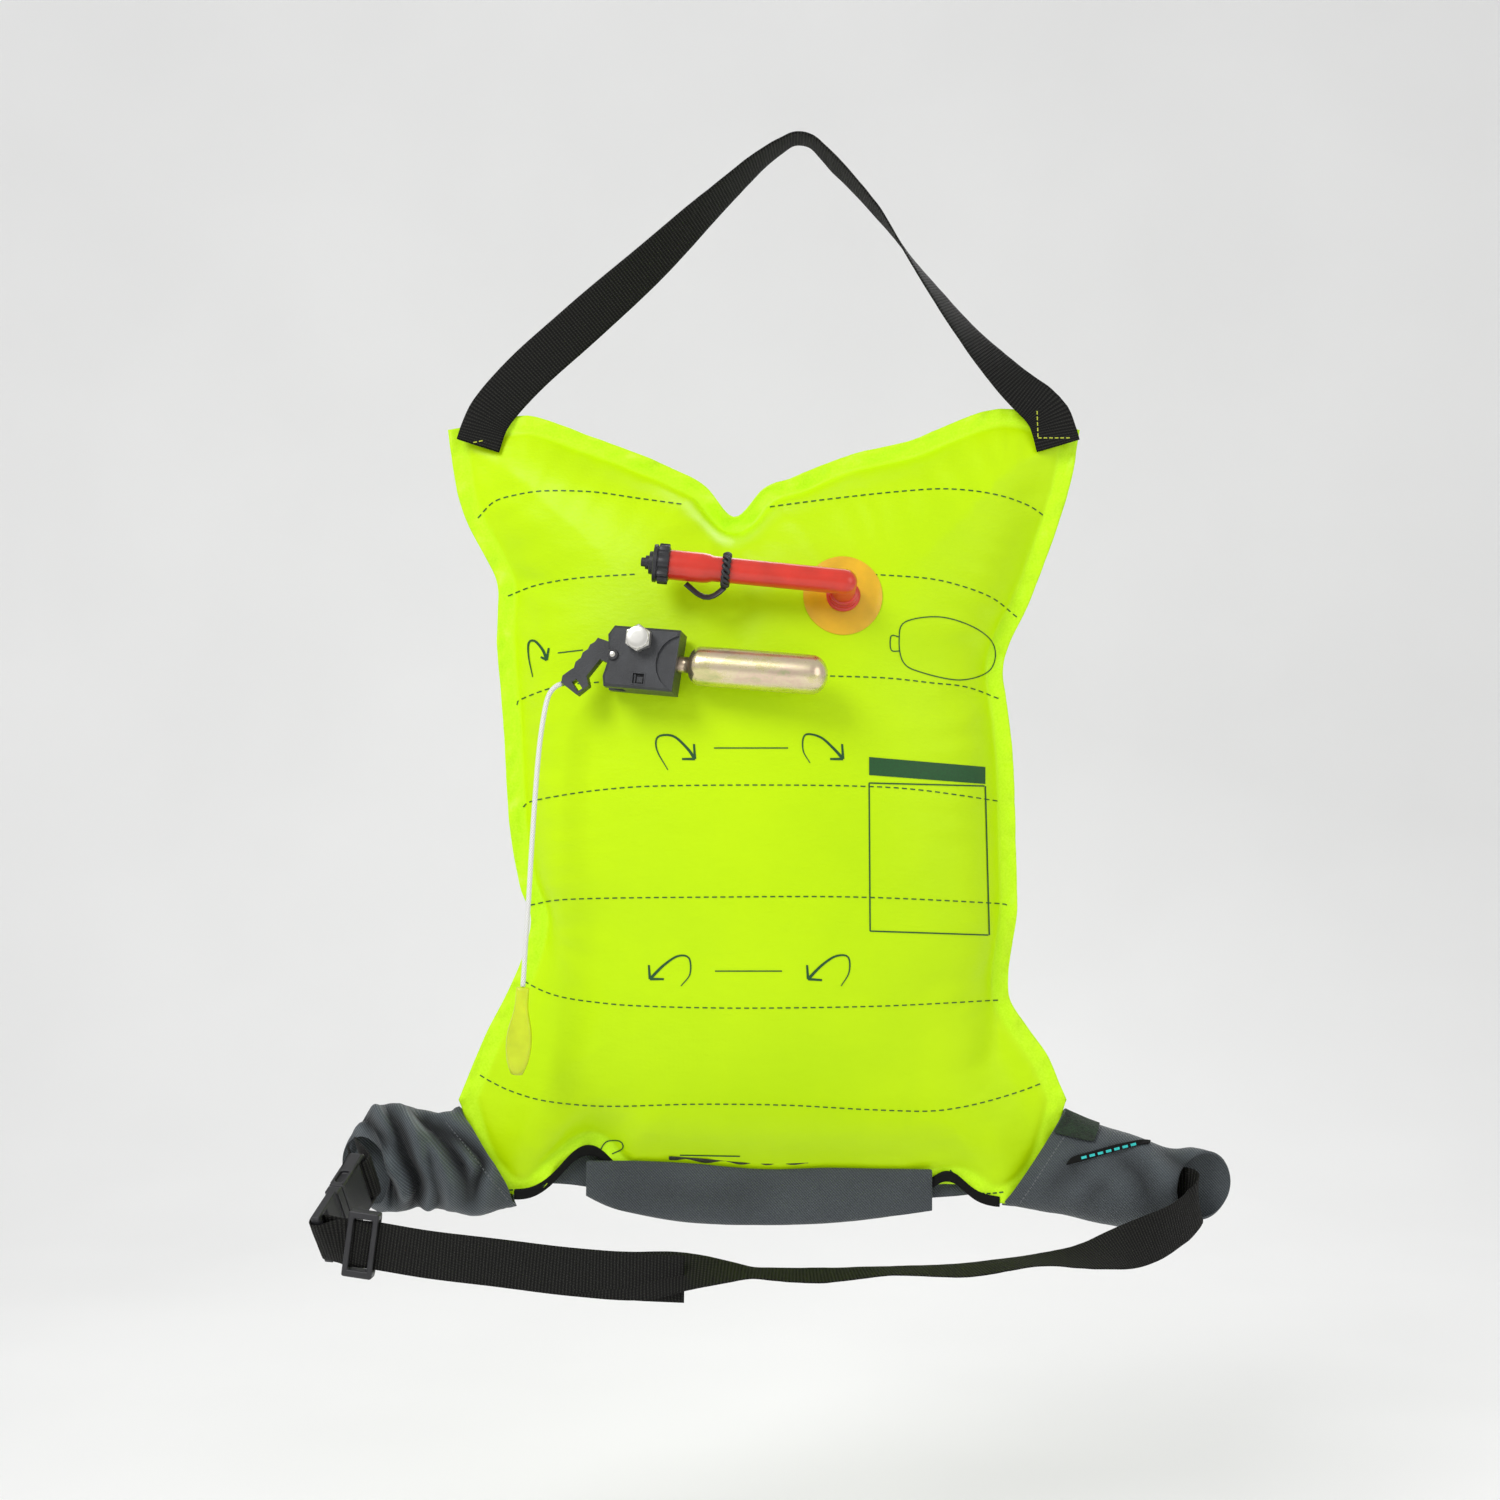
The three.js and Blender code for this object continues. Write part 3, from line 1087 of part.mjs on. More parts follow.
function makeBuckle() {
  const group = new THREE.Group();
  const turned = new THREE.Matrix4().makeBasis(BUCKLE_AXIS, BUCKLE_ACROSS, BUCKLE_OUT);
  group.quaternion.setFromRotationMatrix(turned);
  group.position.copy(BUCKLE_BAR);
  pack.add(group);
  const box = (from, to, width, thick, y = 0) =>
    new THREE.BoxGeometry(to - from, width, thick).translate((from + to) / 2, y, 0);
  const split = PLUG.length;
  const slotWidth = WEB_WIDTH + WEB_ROOM;
  const bar = PLUG.bar / 2;

  // The plug: the bar that the belt folds over, a frame round its slot, and two prongs in the receiver.
  const frame = box(-bar, split, BUCKLE_WIDTH, PLUG.thick);
  const slot = box(bar, bar + PLUG.slot, slotWidth, 2 * PLUG.thick);
  const shoulder = box(split - PLUG.thick, split, BUCKLE_WIDTH, PLUG.shoulder);
  const prong = (side) =>
    box(split - 1, split + PRONG.length, PRONG.width, PRONG.thick, side * PRONG.apart);
  add("buckle_plug", join(cut(frame, slot), shoulder, prong(-1), prong(1)), BLACK_PLASTIC, group);

  // The receiver: an open box over the prongs, with a slot for its own webbing.
  const shell = box(split + GAP, BUCKLE_LENGTH, BUCKLE_WIDTH - 1, BUCKLE_THICK);
  const inside = BUCKLE_THICK - 2 * BUCKLE_WALL;
  const room = 2 * PRONG.apart + PRONG.width + 2.6;
  const hollow = box(split - 1, split + PRONG.length + 2, room, inside);
  const sideGap = (side) => box(split + 4, split + 13, 5, inside, (side * BUCKLE_WIDTH) / 2);
  const webSlot = box(BUCKLE_LENGTH - 7, BUCKLE_LENGTH - 3, slotWidth, 2 * BUCKLE_THICK);
  const receiver = cut(shell, hollow, sideGap(-1), sideGap(1), webSlot);
  add("buckle_receiver", receiver, BLACK_PLASTIC, group);

  // The wing's webbing, folded round the receiver's bar and run into the wing's open end.
  const folded = WEB_FOLD.map(([along, out]) => vec(BUCKLE_LENGTH + along, 0, out));
  const path = new THREE.CatmullRomCurve3(folded, false, "centripetal");
  const web = Array.from({ length: 25 }, (_, i) => {
    const along = path.getTangentAt(i / 24);
    return { at: path.getPointAt(i / 24), across: vec(0, 1, 0), out: along.clone().cross(vec(0, 1, 0)) };
  });
  add("buckle_web", ribbon(web), WEBBING, group);
}

// The belt's main run. `along` is a share of its span from the buckle's bar, `fore` of its reach, `down`
// a share of the webbing's width below the bar, and `turn` how far it twists out of upright.
const BELT_RUN = [
  { along: 0.03, fore: 0.775, down: 0.03, turn: 0 },
  { along: 0.07, fore: 0.79, down: 0.12, turn: 0 },
  { along: 0.13, fore: 0.815, down: 0.27, turn: 0 },
  { along: 0.22, fore: 0.855, down: 0.42, turn: 0 },
  { along: 0.31, fore: 0.89, down: 0.58, turn: 4 },
  { along: 0.39, fore: 0.94, down: 0.63, turn: 12 },
  { along: 0.455, fore: 0.97, down: 0.52, turn: 52 },
  { along: 0.53, fore: 0.99, down: 0.53, turn: 88 },
  { along: 0.61, fore: 1, down: 0.58, turn: 83 },
  { along: 0.7, fore: 0.97, down: 0.51, turn: 91 },
  { along: 0.79, fore: 0.9, down: 0.56, turn: 85 },
  { along: 0.88, fore: 0.79, down: 0.46, turn: 90 },
  { along: 0.96, fore: 0.64, down: 0.49, turn: 68 },
  { along: 1.018, fore: 0.48, down: 0.36, turn: 30 },
  { along: 1.068, fore: 0.34, down: 0.12, turn: 0 },
  { along: 1.1, fore: 0.22, down: -0.14, turn: 0 },
  { along: 1.113, fore: 0.135, down: -0.42, turn: 0 },
  { along: 1.103, fore: 0.045, down: -0.52, turn: 0 },
  { along: 1.073, fore: -0.02, down: -0.44, turn: 0 },
  { along: 1.028, fore: -0.04, down: -0.33, turn: 0 },
];
const TAIL_SHARE = 0.45; // where the free end is cut, as a share of the span

// The belt's fold round the buckle's bar, in mm along the buckle and out from it.
const BAR_FOLD = [
  [4.6, 4],
  [4.2, -2],
  [0.6, -5],
  [-3.4, -2],
  [-3.4, 4],
];

const LAYER = WEB_THICK / 2 + 0.45; // each layer's distance from the middle of the doubled belt

function beltPlace(row, lift) {
  return vec(
    BELT_LEFT_X + row.along * BELT_SPAN,
    -row.fore * BELT_REACH - lift,
    BELT_Z - row.down * WEB_WIDTH,
  );
}

function makeBelt() {
  const upright = vec(0, 0, 1);
  const step = (at, turn, width = upright) => ({ at, turn, width });
  const run = BELT_RUN.map((row) => step(beltPlace(row, -LAYER), row.turn)).reverse();
  const doubled = BELT_RUN.filter((row) => row.along < TAIL_SHARE - 0.01);
  const end = {
    along: TAIL_SHARE,
    fore: read(BELT_RUN.slice(0, 12), "along", "fore", TAIL_SHARE),
    down: 0.65,
  };
  const tail = [...doubled, end].map((row) => step(beltPlace(row, LAYER), 0));
  const round = ([along, out]) =>
    BUCKLE_BAR.clone().addScaledVector(BUCKLE_AXIS, along).addScaledVector(BUCKLE_OUT, out);
  const fold = BAR_FOLD.map((place) => step(round(place), 0, BUCKLE_ACROSS));
  add("waist_belt", ribbon(beltStations([...run, ...fold, ...tail], 80)), WEBBING);
}

// Stations of the belt, each with its row's width direction, turned by its own angle.
function beltStations(rows, steps) {
  const path = new THREE.CatmullRomCurve3(rows.map((row) => row.at), false, "centripetal");
  return Array.from({ length: steps + 1 }, (_, i) => {
    // Half of the steps follow the length and half the rows, which lie close where the belt bends.
    const t = (path.getUtoTmapping(i / steps) + i / steps) / 2;
    const place = t * (rows.length - 1);
    const low = Math.min(Math.floor(place), rows.length - 2);
    const turn = THREE.MathUtils.lerp(rows[low].turn, rows[low + 1].turn, place - low);
    const width = rows[low].width.clone().lerp(rows[low + 1].width, place - low);
    const along = path.getTangent(t);
    const across = width.addScaledVector(along, -along.dot(width)).normalize();
    across.applyAxisAngle(along, deg(turn));
    return { at: path.getPoint(t), across, out: along.clone().cross(across).normalize() };
  });
}

// The slide: a rectangular frame round both layers of the belt.
function makeSlider() {
  const { width, height, thick, rim } = SLIDER;
  const channelDepth = 2 * (LAYER + WEB_THICK / 2 + 2.5 * GAP);
  const windowHeight = WEB_WIDTH + WEB_ROOM;
  const outer = new THREE.BoxGeometry(width, channelDepth + thick, height);
  const window = new THREE.BoxGeometry(width - 2 * rim, channelDepth * 4, windowHeight);
  const channel = new THREE.BoxGeometry(width * 2, channelDepth, windowHeight);
  const mesh = add("strap_slider", cut(outer, window, channel), BLACK_PLASTIC);
  const [before, after] = [BELT_RUN[0], BELT_RUN[1]].map((row) => beltPlace(row, 0));
  const along = after.clone().sub(before).normalize();
  const upright = vec(0, 0, 1).addScaledVector(along, -along.z).normalize();
  const turned = new THREE.Matrix4().makeBasis(along, upright.clone().cross(along), upright);
  mesh.quaternion.setFromRotationMatrix(turned);
  mesh.position.copy(before.lerp(after, 0.5));
}

makeBladder();
makeNeckStrap();
makePatch();
makeMouthTube();
makeInflator();
makePullCord();
makeBinding();
makePanel();
makeBand();
makeWings();
makeBuckle();
makeBelt();
makeSlider();

export default pack;
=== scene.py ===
"""Looks for an inflatable belt pack, hung by its neck strap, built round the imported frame."""

import itertools
import json
import math

import bmesh
import bpy
import numpy as np
from mathutils import Matrix, Vector, noise
from mathutils.bvhtree import BVHTree

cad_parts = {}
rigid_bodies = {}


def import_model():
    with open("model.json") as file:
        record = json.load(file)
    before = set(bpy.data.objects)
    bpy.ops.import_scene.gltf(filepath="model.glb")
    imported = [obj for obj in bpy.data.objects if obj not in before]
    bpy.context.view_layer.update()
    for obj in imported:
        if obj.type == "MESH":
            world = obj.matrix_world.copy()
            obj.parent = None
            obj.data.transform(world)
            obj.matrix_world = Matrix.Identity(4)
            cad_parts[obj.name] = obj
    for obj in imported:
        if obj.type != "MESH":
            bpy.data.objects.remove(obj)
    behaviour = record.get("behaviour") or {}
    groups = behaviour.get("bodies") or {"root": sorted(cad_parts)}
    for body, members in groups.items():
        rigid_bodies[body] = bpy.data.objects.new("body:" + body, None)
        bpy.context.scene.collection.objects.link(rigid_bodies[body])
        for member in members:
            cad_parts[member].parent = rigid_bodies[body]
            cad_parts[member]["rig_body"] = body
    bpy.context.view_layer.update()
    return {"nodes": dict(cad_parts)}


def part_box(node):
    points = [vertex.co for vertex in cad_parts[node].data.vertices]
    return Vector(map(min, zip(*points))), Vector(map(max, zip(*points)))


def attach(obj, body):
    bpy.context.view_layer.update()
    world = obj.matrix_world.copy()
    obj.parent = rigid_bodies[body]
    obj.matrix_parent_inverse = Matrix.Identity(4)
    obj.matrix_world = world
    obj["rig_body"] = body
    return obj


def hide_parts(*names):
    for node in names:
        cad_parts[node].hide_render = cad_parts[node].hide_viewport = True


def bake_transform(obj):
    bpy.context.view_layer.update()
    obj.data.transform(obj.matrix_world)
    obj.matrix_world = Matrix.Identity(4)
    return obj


MM = 0.001
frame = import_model()
NODES = frame["nodes"]

# Camera, lights and floor

CAMERA_AT = Vector((-29.9, -1300, -346.3)) * MM
VIEW_WIDTH = 847.5 * MM  # what the photograph's width covers at the weld plane
PHOTO_WIDTH = 1500  # pixels
PIXEL = VIEW_WIDTH / PHOTO_WIDTH
HALF = PHOTO_WIDTH / 2


def make_camera():
    data = bpy.data.cameras.new("camera")
    data.sensor_width = 36
    data.lens = 36 * -CAMERA_AT.y / VIEW_WIDTH
    data.clip_start = 0.05
    camera = bpy.data.objects.new("camera", data)
    camera.location = CAMERA_AT
    camera.rotation_euler = (math.radians(90), 0, 0)
    bpy.context.scene.collection.objects.link(camera)
    bpy.context.scene.camera = camera


def add_light(name, at, toward, size, power):
    data = bpy.data.lights.new(name, "AREA")
    data.shape = "DISK"
    data.size = size
    data.energy = power
    light = bpy.data.objects.new(name, data)
    light.location = at
    light.rotation_mode = "QUATERNION"
    light.rotation_quaternion = (Vector(toward) - Vector(at)).to_track_quat("-Z", "Y")
    bpy.context.scene.collection.objects.link(light)


# Materials


def bands(period):
    """The wave texture's scale for stripes this far apart, in metres."""
    return 2 * math.pi / 20 / period


class Nodes:
    """A short way to write a material's nodes."""

    def __init__(self, name):
        self.material = bpy.data.materials.new(name)
        self.material.use_nodes = True
        self.tree = self.material.node_tree
        self.shader = self.tree.nodes["Principled BSDF"]

    def add(self, kind, links=(), **values):
        node = self.tree.nodes.new("ShaderNode" + kind)
        for key, value in values.items():
            if key.startswith("in_"):
                node.inputs[int(key[3:])].default_value = value
            else:
                setattr(node, key, value)
        for slot, source in dict(links).items():
            self.tree.links.new(source, node.inputs[slot])
        return node

    def place(self, kind="Object"):
        return self.add("TexCoord").outputs[kind]

    def stretch(self, source, scale, turn=(0, 0, 0)):
        mapping = self.add("Mapping", {0: source}, in_2=turn, in_3=scale)
        return mapping.outputs[0]

    def noise(self, source, scale, detail=3, rough=0.55):
        return self.add("TexNoise", {"Vector": source}, in_2=scale, in_3=detail, in_4=rough).outputs[0]

    def wave(self, source, scale, direction="X"):
        node = self.add("TexWave", {0: source}, bands_direction=direction, wave_profile="SIN")
        node.inputs["Scale"].default_value = scale
        return node.outputs["Fac"]

    def math(self, kind, a, b):
        node = self.add("Math", operation=kind)
        for i, value in enumerate((a, b)):
            if isinstance(value, (int, float)):
                node.inputs[i].default_value = value
            else:
                self.tree.links.new(value, node.inputs[i])
        return node.outputs[0]

    def ramp(self, source, stops):
        node = self.add("ValToRGB", {0: source})
        ramp = node.color_ramp
        while len(ramp.elements) < len(stops):
            ramp.elements.new(0.5)
        for element, (place, color) in zip(ramp.elements, stops):
            element.position = place
            element.color = (*color, 1)
        return node.outputs[0]

    def spread(self, source, low, high):
        node = self.add("MapRange", {0: source})
        node.inputs[3].default_value = low
        node.inputs[4].default_value = high
        return node.outputs[0]

    def bump(self, height, distance, strength=1.0, under=None):
        links = {"Height": height}
        if under is not None:
            links["Normal"] = under
        node = self.add("Bump", links)
        node.inputs["Distance"].default_value = distance
        node.inputs["Strength"].default_value = strength
        return node.outputs[0]

    def finish(self, color=None, roughness=None, normal=None, **sockets):
        for name, value in (("Base Color", color), ("Roughness", roughness), ("Normal", normal)):
            if value is None:
                continue
            if isinstance(value, bpy.types.NodeSocket):
                self.tree.links.new(value, self.shader.inputs[name])
            elif name == "Base Color":
                self.shader.inputs[name].default_value = (*value, 1)
            else:
                self.shader.inputs[name].default_value = value
        for name, value in sockets.items():
            self.shader.inputs[name.replace("_", " ")].default_value = value
        return self.material


def film_material():
    """Coated fluorescent cloth of the air cell: a fine weave under a soft gloss, with a painted highlight
    that makes the weld paler, and a faint painted glow all over.
    """
    n = Nodes("cell_film")
    at = n.place()
    weld = n.add("Attribute", attribute_name="weld").outputs["Fac"]
    blotch = n.noise(at, 9, 4)
    fine = n.noise(at, 900, 2)
    base = n.ramp(blotch, [(0.3, (0.48, 0.74, 0.0)), (0.7, (0.54, 0.80, 0.0))])
    # painted highlight: the weld margin is coloured paler, as if the cell's edges caught the light
    pale = n.ramp(fine, [(0.3, (0.50, 0.83, 0.004)), (0.7, (0.58, 0.89, 0.02))])
    color = n.add("MixRGB", {0: weld, 1: base, 2: pale}).outputs[0]
    threads = n.math("ADD", n.wave(at, bands(0.0007), "X"), n.wave(at, bands(0.0007), "Z"))
    creases = n.noise(n.stretch(at, (1, 1, 2.2)), 42, 5, 0.6)
    normal = n.bump(creases, 0.0016, 0.35, n.bump(threads, 0.00005, 0.35))
    rough = n.spread(fine, 0.34, 0.5)
    finish = {"Coat_Weight": 0.03, "Coat_Roughness": 0.35, "Specular_IOR_Level": 0.18}
    finish |= {"Subsurface_Weight": 0.12, "Subsurface_Radius": (0.02, 0.02, 0.004)}
    # painted glow: the film gives off a little light of its own, so it looks brighter than the lamps make it
    finish |= {"Emission_Color": (0.5, 0.9, 0.0, 1), "Emission_Strength": 0.1}
    return n.finish(color, rough, normal, **finish)


def webbing_material(name, color, rib=0.0018, yarn=0.0014):
    """Woven webbing: cross ribs along its length, each a row of yarn floats."""
    n = Nodes(name)
    flat = n.place("UV")
    ribs = n.wave(flat, bands(rib), "Y")
    yarns = n.wave(n.stretch(flat, (1, 1, 1), (0, 0, 0.2)), bands(yarn), "X")
    fuzz = n.noise(n.stretch(flat, (900, 900, 900)), 1, 3)
    weave = n.math("MULTIPLY", ribs, n.math("ADD", n.math("MULTIPLY", yarns, 0.6), 0.4))
    shade = n.math("ADD", n.math("MULTIPLY", weave, 0.8), n.math("MULTIPLY", fuzz, 0.25))
    dark, light = [tuple(c * k for c in color) for k in (0.15, 2.6)]
    tint = n.ramp(shade, [(0.15, dark), (0.95, light)])
    normal = n.bump(weave, 0.0007, 1.0, n.bump(fuzz, 0.0002, 0.5))
    return n.finish(tint, n.spread(fuzz, 0.65, 0.85), normal, Specular_IOR_Level=0.22)


FOLD_MIDDLE = 0.3  # where flat cloth lies on the ramp of painted light, from a fold's ridge with its painted highlight to its valley with its painted shade


def cloth_material(name, color, twill=0.0012):
    """Heavy woven pouch cloth with a fine diagonal rib, with painted shade in the valleys of its folds and a
    painted highlight on their ridges.
    """
    n = Nodes(name)
    at = n.place()
    ribs = n.wave(n.stretch(at, (1, 0.6, 1), (0, math.radians(42), 0)), bands(twill), "X")
    cross = n.wave(n.stretch(at, (1, 0.6, 1), (0, math.radians(-48), 0)), bands(twill), "X")
    fuzz = n.noise(at, 1400, 3)
    worn = n.noise(at, 26, 4)
    weave = n.math("MULTIPLY", ribs, n.math("ADD", n.math("MULTIPLY", cross, 0.5), 0.5))
    shade = n.math("ADD", n.math("MULTIPLY", weave, 0.6), n.math("MULTIPLY", fuzz, 0.45))
    dark, light = [tuple(c * k for c in color) for k in (0.5, 1.8)]
    tint = n.ramp(shade, [(0.12, dark), (0.92, light)])
    patina = n.ramp(worn, [(0.3, (0.8, 0.8, 0.82)), (0.7, (1.08, 1.08, 1.07))])
    both = n.add("MixRGB", {1: tint, 2: patina}, blend_type="MULTIPLY", in_0=0.8).outputs[0]
    # painted shade in the folds' valleys and painted highlight on their ridges, read from the fold attribute
    fold = n.math("ADD", n.add("Attribute", attribute_name="fold").outputs["Fac"], FOLD_MIDDLE)
    fold_shade_and_highlight = n.ramp(fold, [(0.0, (1.5, 1.5, 1.5)), (FOLD_MIDDLE, (1, 1, 1)), (0.95, (0.16, 0.17, 0.18))])
    both = n.add("MixRGB", {1: both, 2: fold_shade_and_highlight}, blend_type="MULTIPLY", in_0=1.0).outputs[0]
    normal = n.bump(weave, 0.0005, 0.9, n.bump(worn, 0.0012, 0.25))
    return n.finish(both, n.spread(fuzz, 0.5, 0.72), normal, Specular_IOR_Level=0.4, Sheen_Weight=0.08)


def pile_material(name, color):
    """Hook-and-loop tape: a dense fuzzy face."""
    n = Nodes(name)
    at = n.place()
    fuzz = n.noise(at, 950, 4, 0.7)
    clump = n.noise(at, 240, 3)
    dark, light = [tuple(c * k for c in color) for k in (0.3, 2.1)]
    tint = n.ramp(n.math("MULTIPLY", fuzz, clump), [(0.12, dark), (0.45, light)])
    normal = n.bump(fuzz, 0.0012, 1.0, n.bump(clump, 0.001, 0.6))
    return n.finish(tint, 0.95, normal, Sheen_Weight=0.12, Sheen_Roughness=0.6)


def plastic_material(name, color, rough=0.42, grain=0.00012, scuffs=0.25):
    """Moulded plastic with a fine spark grain and faint scuffs."""
    n = Nodes(name)
    at = n.place()
    speck = n.noise(at, 1500, 3, 0.6)
    cloud = n.noise(at, 70, 4)
    dark, light = [tuple(c * k for c in color) for k in (1 - scuffs, 1 + scuffs)]
    tint = n.ramp(cloud, [(0.3, dark), (0.75, light)])
    normal = n.bump(speck, grain, 0.8)
    return n.finish(tint, n.spread(cloud, rough - 0.08, rough + 0.12), normal)


def soft_pvc_material(name, color, rough, through):
    """Soft clear-coated vinyl that lets some light through."""
    n = Nodes(name)
    at = n.place()
    cloud = n.noise(at, 60, 3)
    dark, light = [tuple(c * k for c in color) for k in (0.86, 1.1)]
    tint = n.ramp(cloud, [(0.3, dark), (0.7, light)])
    normal = n.bump(n.noise(at, 120, 3), 0.0003, 0.3)
    finish = {"Coat_Weight": 0.35, "Coat_Roughness": 0.15}
    finish |= {"Subsurface_Weight": through, "Subsurface_Radius": (0.006, 0.002, 0.001)}
    return n.finish(tint, rough, normal, **finish)


def zinc_material():
    """Yellow chromate on zinc: patches of straw, olive and a little pink."""
    n = Nodes("zinc")
    at = n.place()
    warp = n.noise(n.stretch(at, (0.5, 1.4, 1.4)), 60, 5, 0.65)
    fine = n.noise(at, 700, 4)
    mix = n.math("ADD", n.math("MULTIPLY", warp, 0.85), n.math("MULTIPLY", fine, 0.15))
    stops = [(0.30, (0.50, 0.54, 0.24)), (0.42, (0.74, 0.66, 0.34)), (0.50, (0.82, 0.70, 0.48))]
    stops += [(0.58, (0.78, 0.60, 0.46)), (0.70, (0.52, 0.58, 0.28))]
    brushed = n.noise(n.stretch(at, (20, 400, 400)), 3, 3)
    normal = n.bump(brushed, 0.0001, 0.3)
    return n.finish(n.ramp(mix, stops), n.spread(warp, 0.2, 0.36), normal, Metallic=0.95)


def steel_material():
    n = Nodes("steel")
    at = n.place()
    fine = n.noise(at, 500, 3)
    tint = n.ramp(n.noise(at, 60, 2), [(0.3, (0.74, 0.72, 0.66)), (0.7, (0.84, 0.83, 0.78))])
    return n.finish(tint, n.spread(fine, 0.26, 0.34), n.bump(fine, 0.00001, 0.3), Metallic=0.9)


def cord_material():
    """Braided cord: strands that cross round it."""
    n = Nodes("white_cord")
    flat = n.place("UV")
    one = n.wave(n.stretch(flat, (1, 1, 1), (0, 0, math.radians(35))), bands(0.0011), "X")
    two = n.wave(n.stretch(flat, (1, 1, 1), (0, 0, math.radians(-35))), bands(0.0011), "X")
    braid = n.math("MAXIMUM", one, two)
    tint = n.ramp(braid, [(0.3, (0.62, 0.63, 0.60)), (0.95, (0.93, 0.93, 0.90))])
    return n.finish(tint, 0.75, n.bump(braid, 0.0004, 0.7))


def ink_material(name, color):
    """Screen print: a thin matt ink film with small breaks."""
    n = Nodes(name)
    speck = n.noise(n.place(), 1200, 3)
    dark, light = [tuple(c * k for c in color) for k in (0.8, 1.35)]
    tint = n.ramp(speck, [(0.3, dark), (0.75, light)])
    return n.finish(tint, n.spread(speck, 0.45, 0.65), n.bump(speck, 0.00005, 0.5))


def thread_material(name, color):
    n = Nodes(name)
    twist = n.wave(n.stretch(n.place(), (1, 1, 1), (0, 0.6, 0)), bands(0.0005), "X")
    dark, light = [tuple(c * k for c in color) for k in (0.6, 1.3)]
    return n.finish(n.ramp(twist, [(0.1, dark), (0.9, light)]), 0.7, n.bump(twist, 0.0002, 0.7))


def floor_material():
    n = Nodes("floor")
    cloud = n.noise(n.place(), 3, 2)
    return n.finish(n.ramp(cloud, [(0.3, (0.9, 0.9, 0.9)), (0.7, (0.93, 0.93, 0.93))]), 0.9)


# Mesh helpers


def put(name, vertices, faces, material, smooth=True, body="pack", uvs=None):
    """A new mesh piece that rides on a body. uvs, if given, holds one pair for each vertex."""
    mesh = bpy.data.meshes.new(name)
    mesh.from_pydata([tuple(v) for v in vertices], [], [tuple(f) for f in faces])
    mesh.update()
    if uvs is not None:
        layer = mesh.uv_layers.new(name="UVMap")
        corners = np.zeros(len(mesh.loops), np.int32)
        mesh.loops.foreach_get("vertex_index", corners)
        layer.data.foreach_set("uv", np.asarray(uvs, np.float32)[corners].ravel())
    mesh.polygons.foreach_set("use_smooth", [smooth] * len(mesh.polygons))
    mesh.materials.append(material)
    piece = bpy.data.objects.new(name, mesh)
    bpy.context.scene.collection.objects.link(piece)
    if body:
        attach(piece, body)
    return piece


def welded(node):
    """The frame node's mesh with its doubled points merged."""
    bm = bmesh.new()
    bm.from_mesh(NODES[node].data)
    bmesh.ops.remove_doubles(bm, verts=bm.verts, dist=2e-6)
    bm.verts.ensure_lookup_table()
    bm.faces.ensure_lookup_table()
    return bm


def grid_faces(rows, cols, start=0, flip=False, round_rows=False):
    """Quads between neighbouring rows of points, each row with the same number of them."""
    faces = []
    last = rows if round_rows else rows - 1
    for r in range(last):
        for c in range(cols - 1):
            a = start + r * cols + c
            b = start + ((r + 1) % rows) * cols + c
            quad = (a, a + 1, b + 1, b)
            faces.append(quad[::-1] if flip else quad)
    return faces


def smooth_line(points, step, closed=False):
    """A smooth curve through the points, sampled about every step."""
    points = np.asarray(points, float)
    if closed:
        ends = np.vstack([points[-1], points, points[0], points[1]])
    else:
        ends = np.vstack([2 * points[0] - points[1], points, 2 * points[-1] - points[-2]])
    made = []
    for i in range(1, len(ends) - 2):
        p0, p1, p2, p3 = ends[i - 1 : i + 3]
        count = max(1, int(round(np.linalg.norm((p2 - p1)[:3]) / step)))
        for t in np.arange(count) / count:
            made.append(
                0.5
                * (
                    2 * p1
                    + (p2 - p0) * t
                    + (2 * p0 - 5 * p1 + 4 * p2 - p3) * t * t
                    + (3 * p1 - p0 - 3 * p2 + p3) * t**3
                )
            )
    if not closed:
        made.append(points[-1])
    return np.array(made)


def lengths_along(points):
    steps = np.linalg.norm(np.diff(points, axis=0), axis=1)
    return np.concatenate([[0], np.cumsum(steps)])


def rounded(name, node, material, levels=2, sharp=38, soft=0.0):
    """A smooth copy of a frame node: its flat facets become curves and its real edges stay."""
    bm = welded(node)
    flat, square = math.radians(30), math.radians(60)
    bmesh.ops.join_triangles(bm, faces=bm.faces, angle_face_threshold=flat, angle_shape_threshold=square)
    crease = bm.edges.layers.float.new("crease_edge")
    for edge in bm.edges:
        if len(edge.link_faces) == 2 and math.degrees(edge.calc_face_angle(0)) > sharp:
            edge[crease] = 1 - soft
    mesh = bpy.data.meshes.new(name)
    bm.to_mesh(mesh)
    bm.free()
    piece = bpy.data.objects.new(name, mesh)
    bpy.context.scene.collection.objects.link(piece)
    modifier = piece.modifiers.new("smooth", "SUBSURF")
    modifier.levels = modifier.render_levels = levels
    graph = bpy.context.evaluated_depsgraph_get()
    done = bpy.data.meshes.new_from_object(piece.evaluated_get(graph))
    piece.modifiers.clear()
    piece.data = done
    done.materials.clear()
    done.materials.append(material)
    done.shade_smooth()
    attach(piece, frame_body(node))
    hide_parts(node)
    return piece


def frame_body(node):
    return NODES[node]["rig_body"]


def moved(piece, change):
    """Moves each point of a piece by what change says for all its points and normals, in metres."""
    mesh = piece.data
    places = np.zeros(len(mesh.vertices) * 3)
    normals = np.zeros(len(mesh.vertices) * 3)
    mesh.vertices.foreach_get("co", places)
    mesh.vertices.foreach_get("normal", normals)
    places = places.reshape(-1, 3)
    mesh.vertices.foreach_set("co", (places + change(places, normals.reshape(-1, 3))).ravel())
    mesh.update()


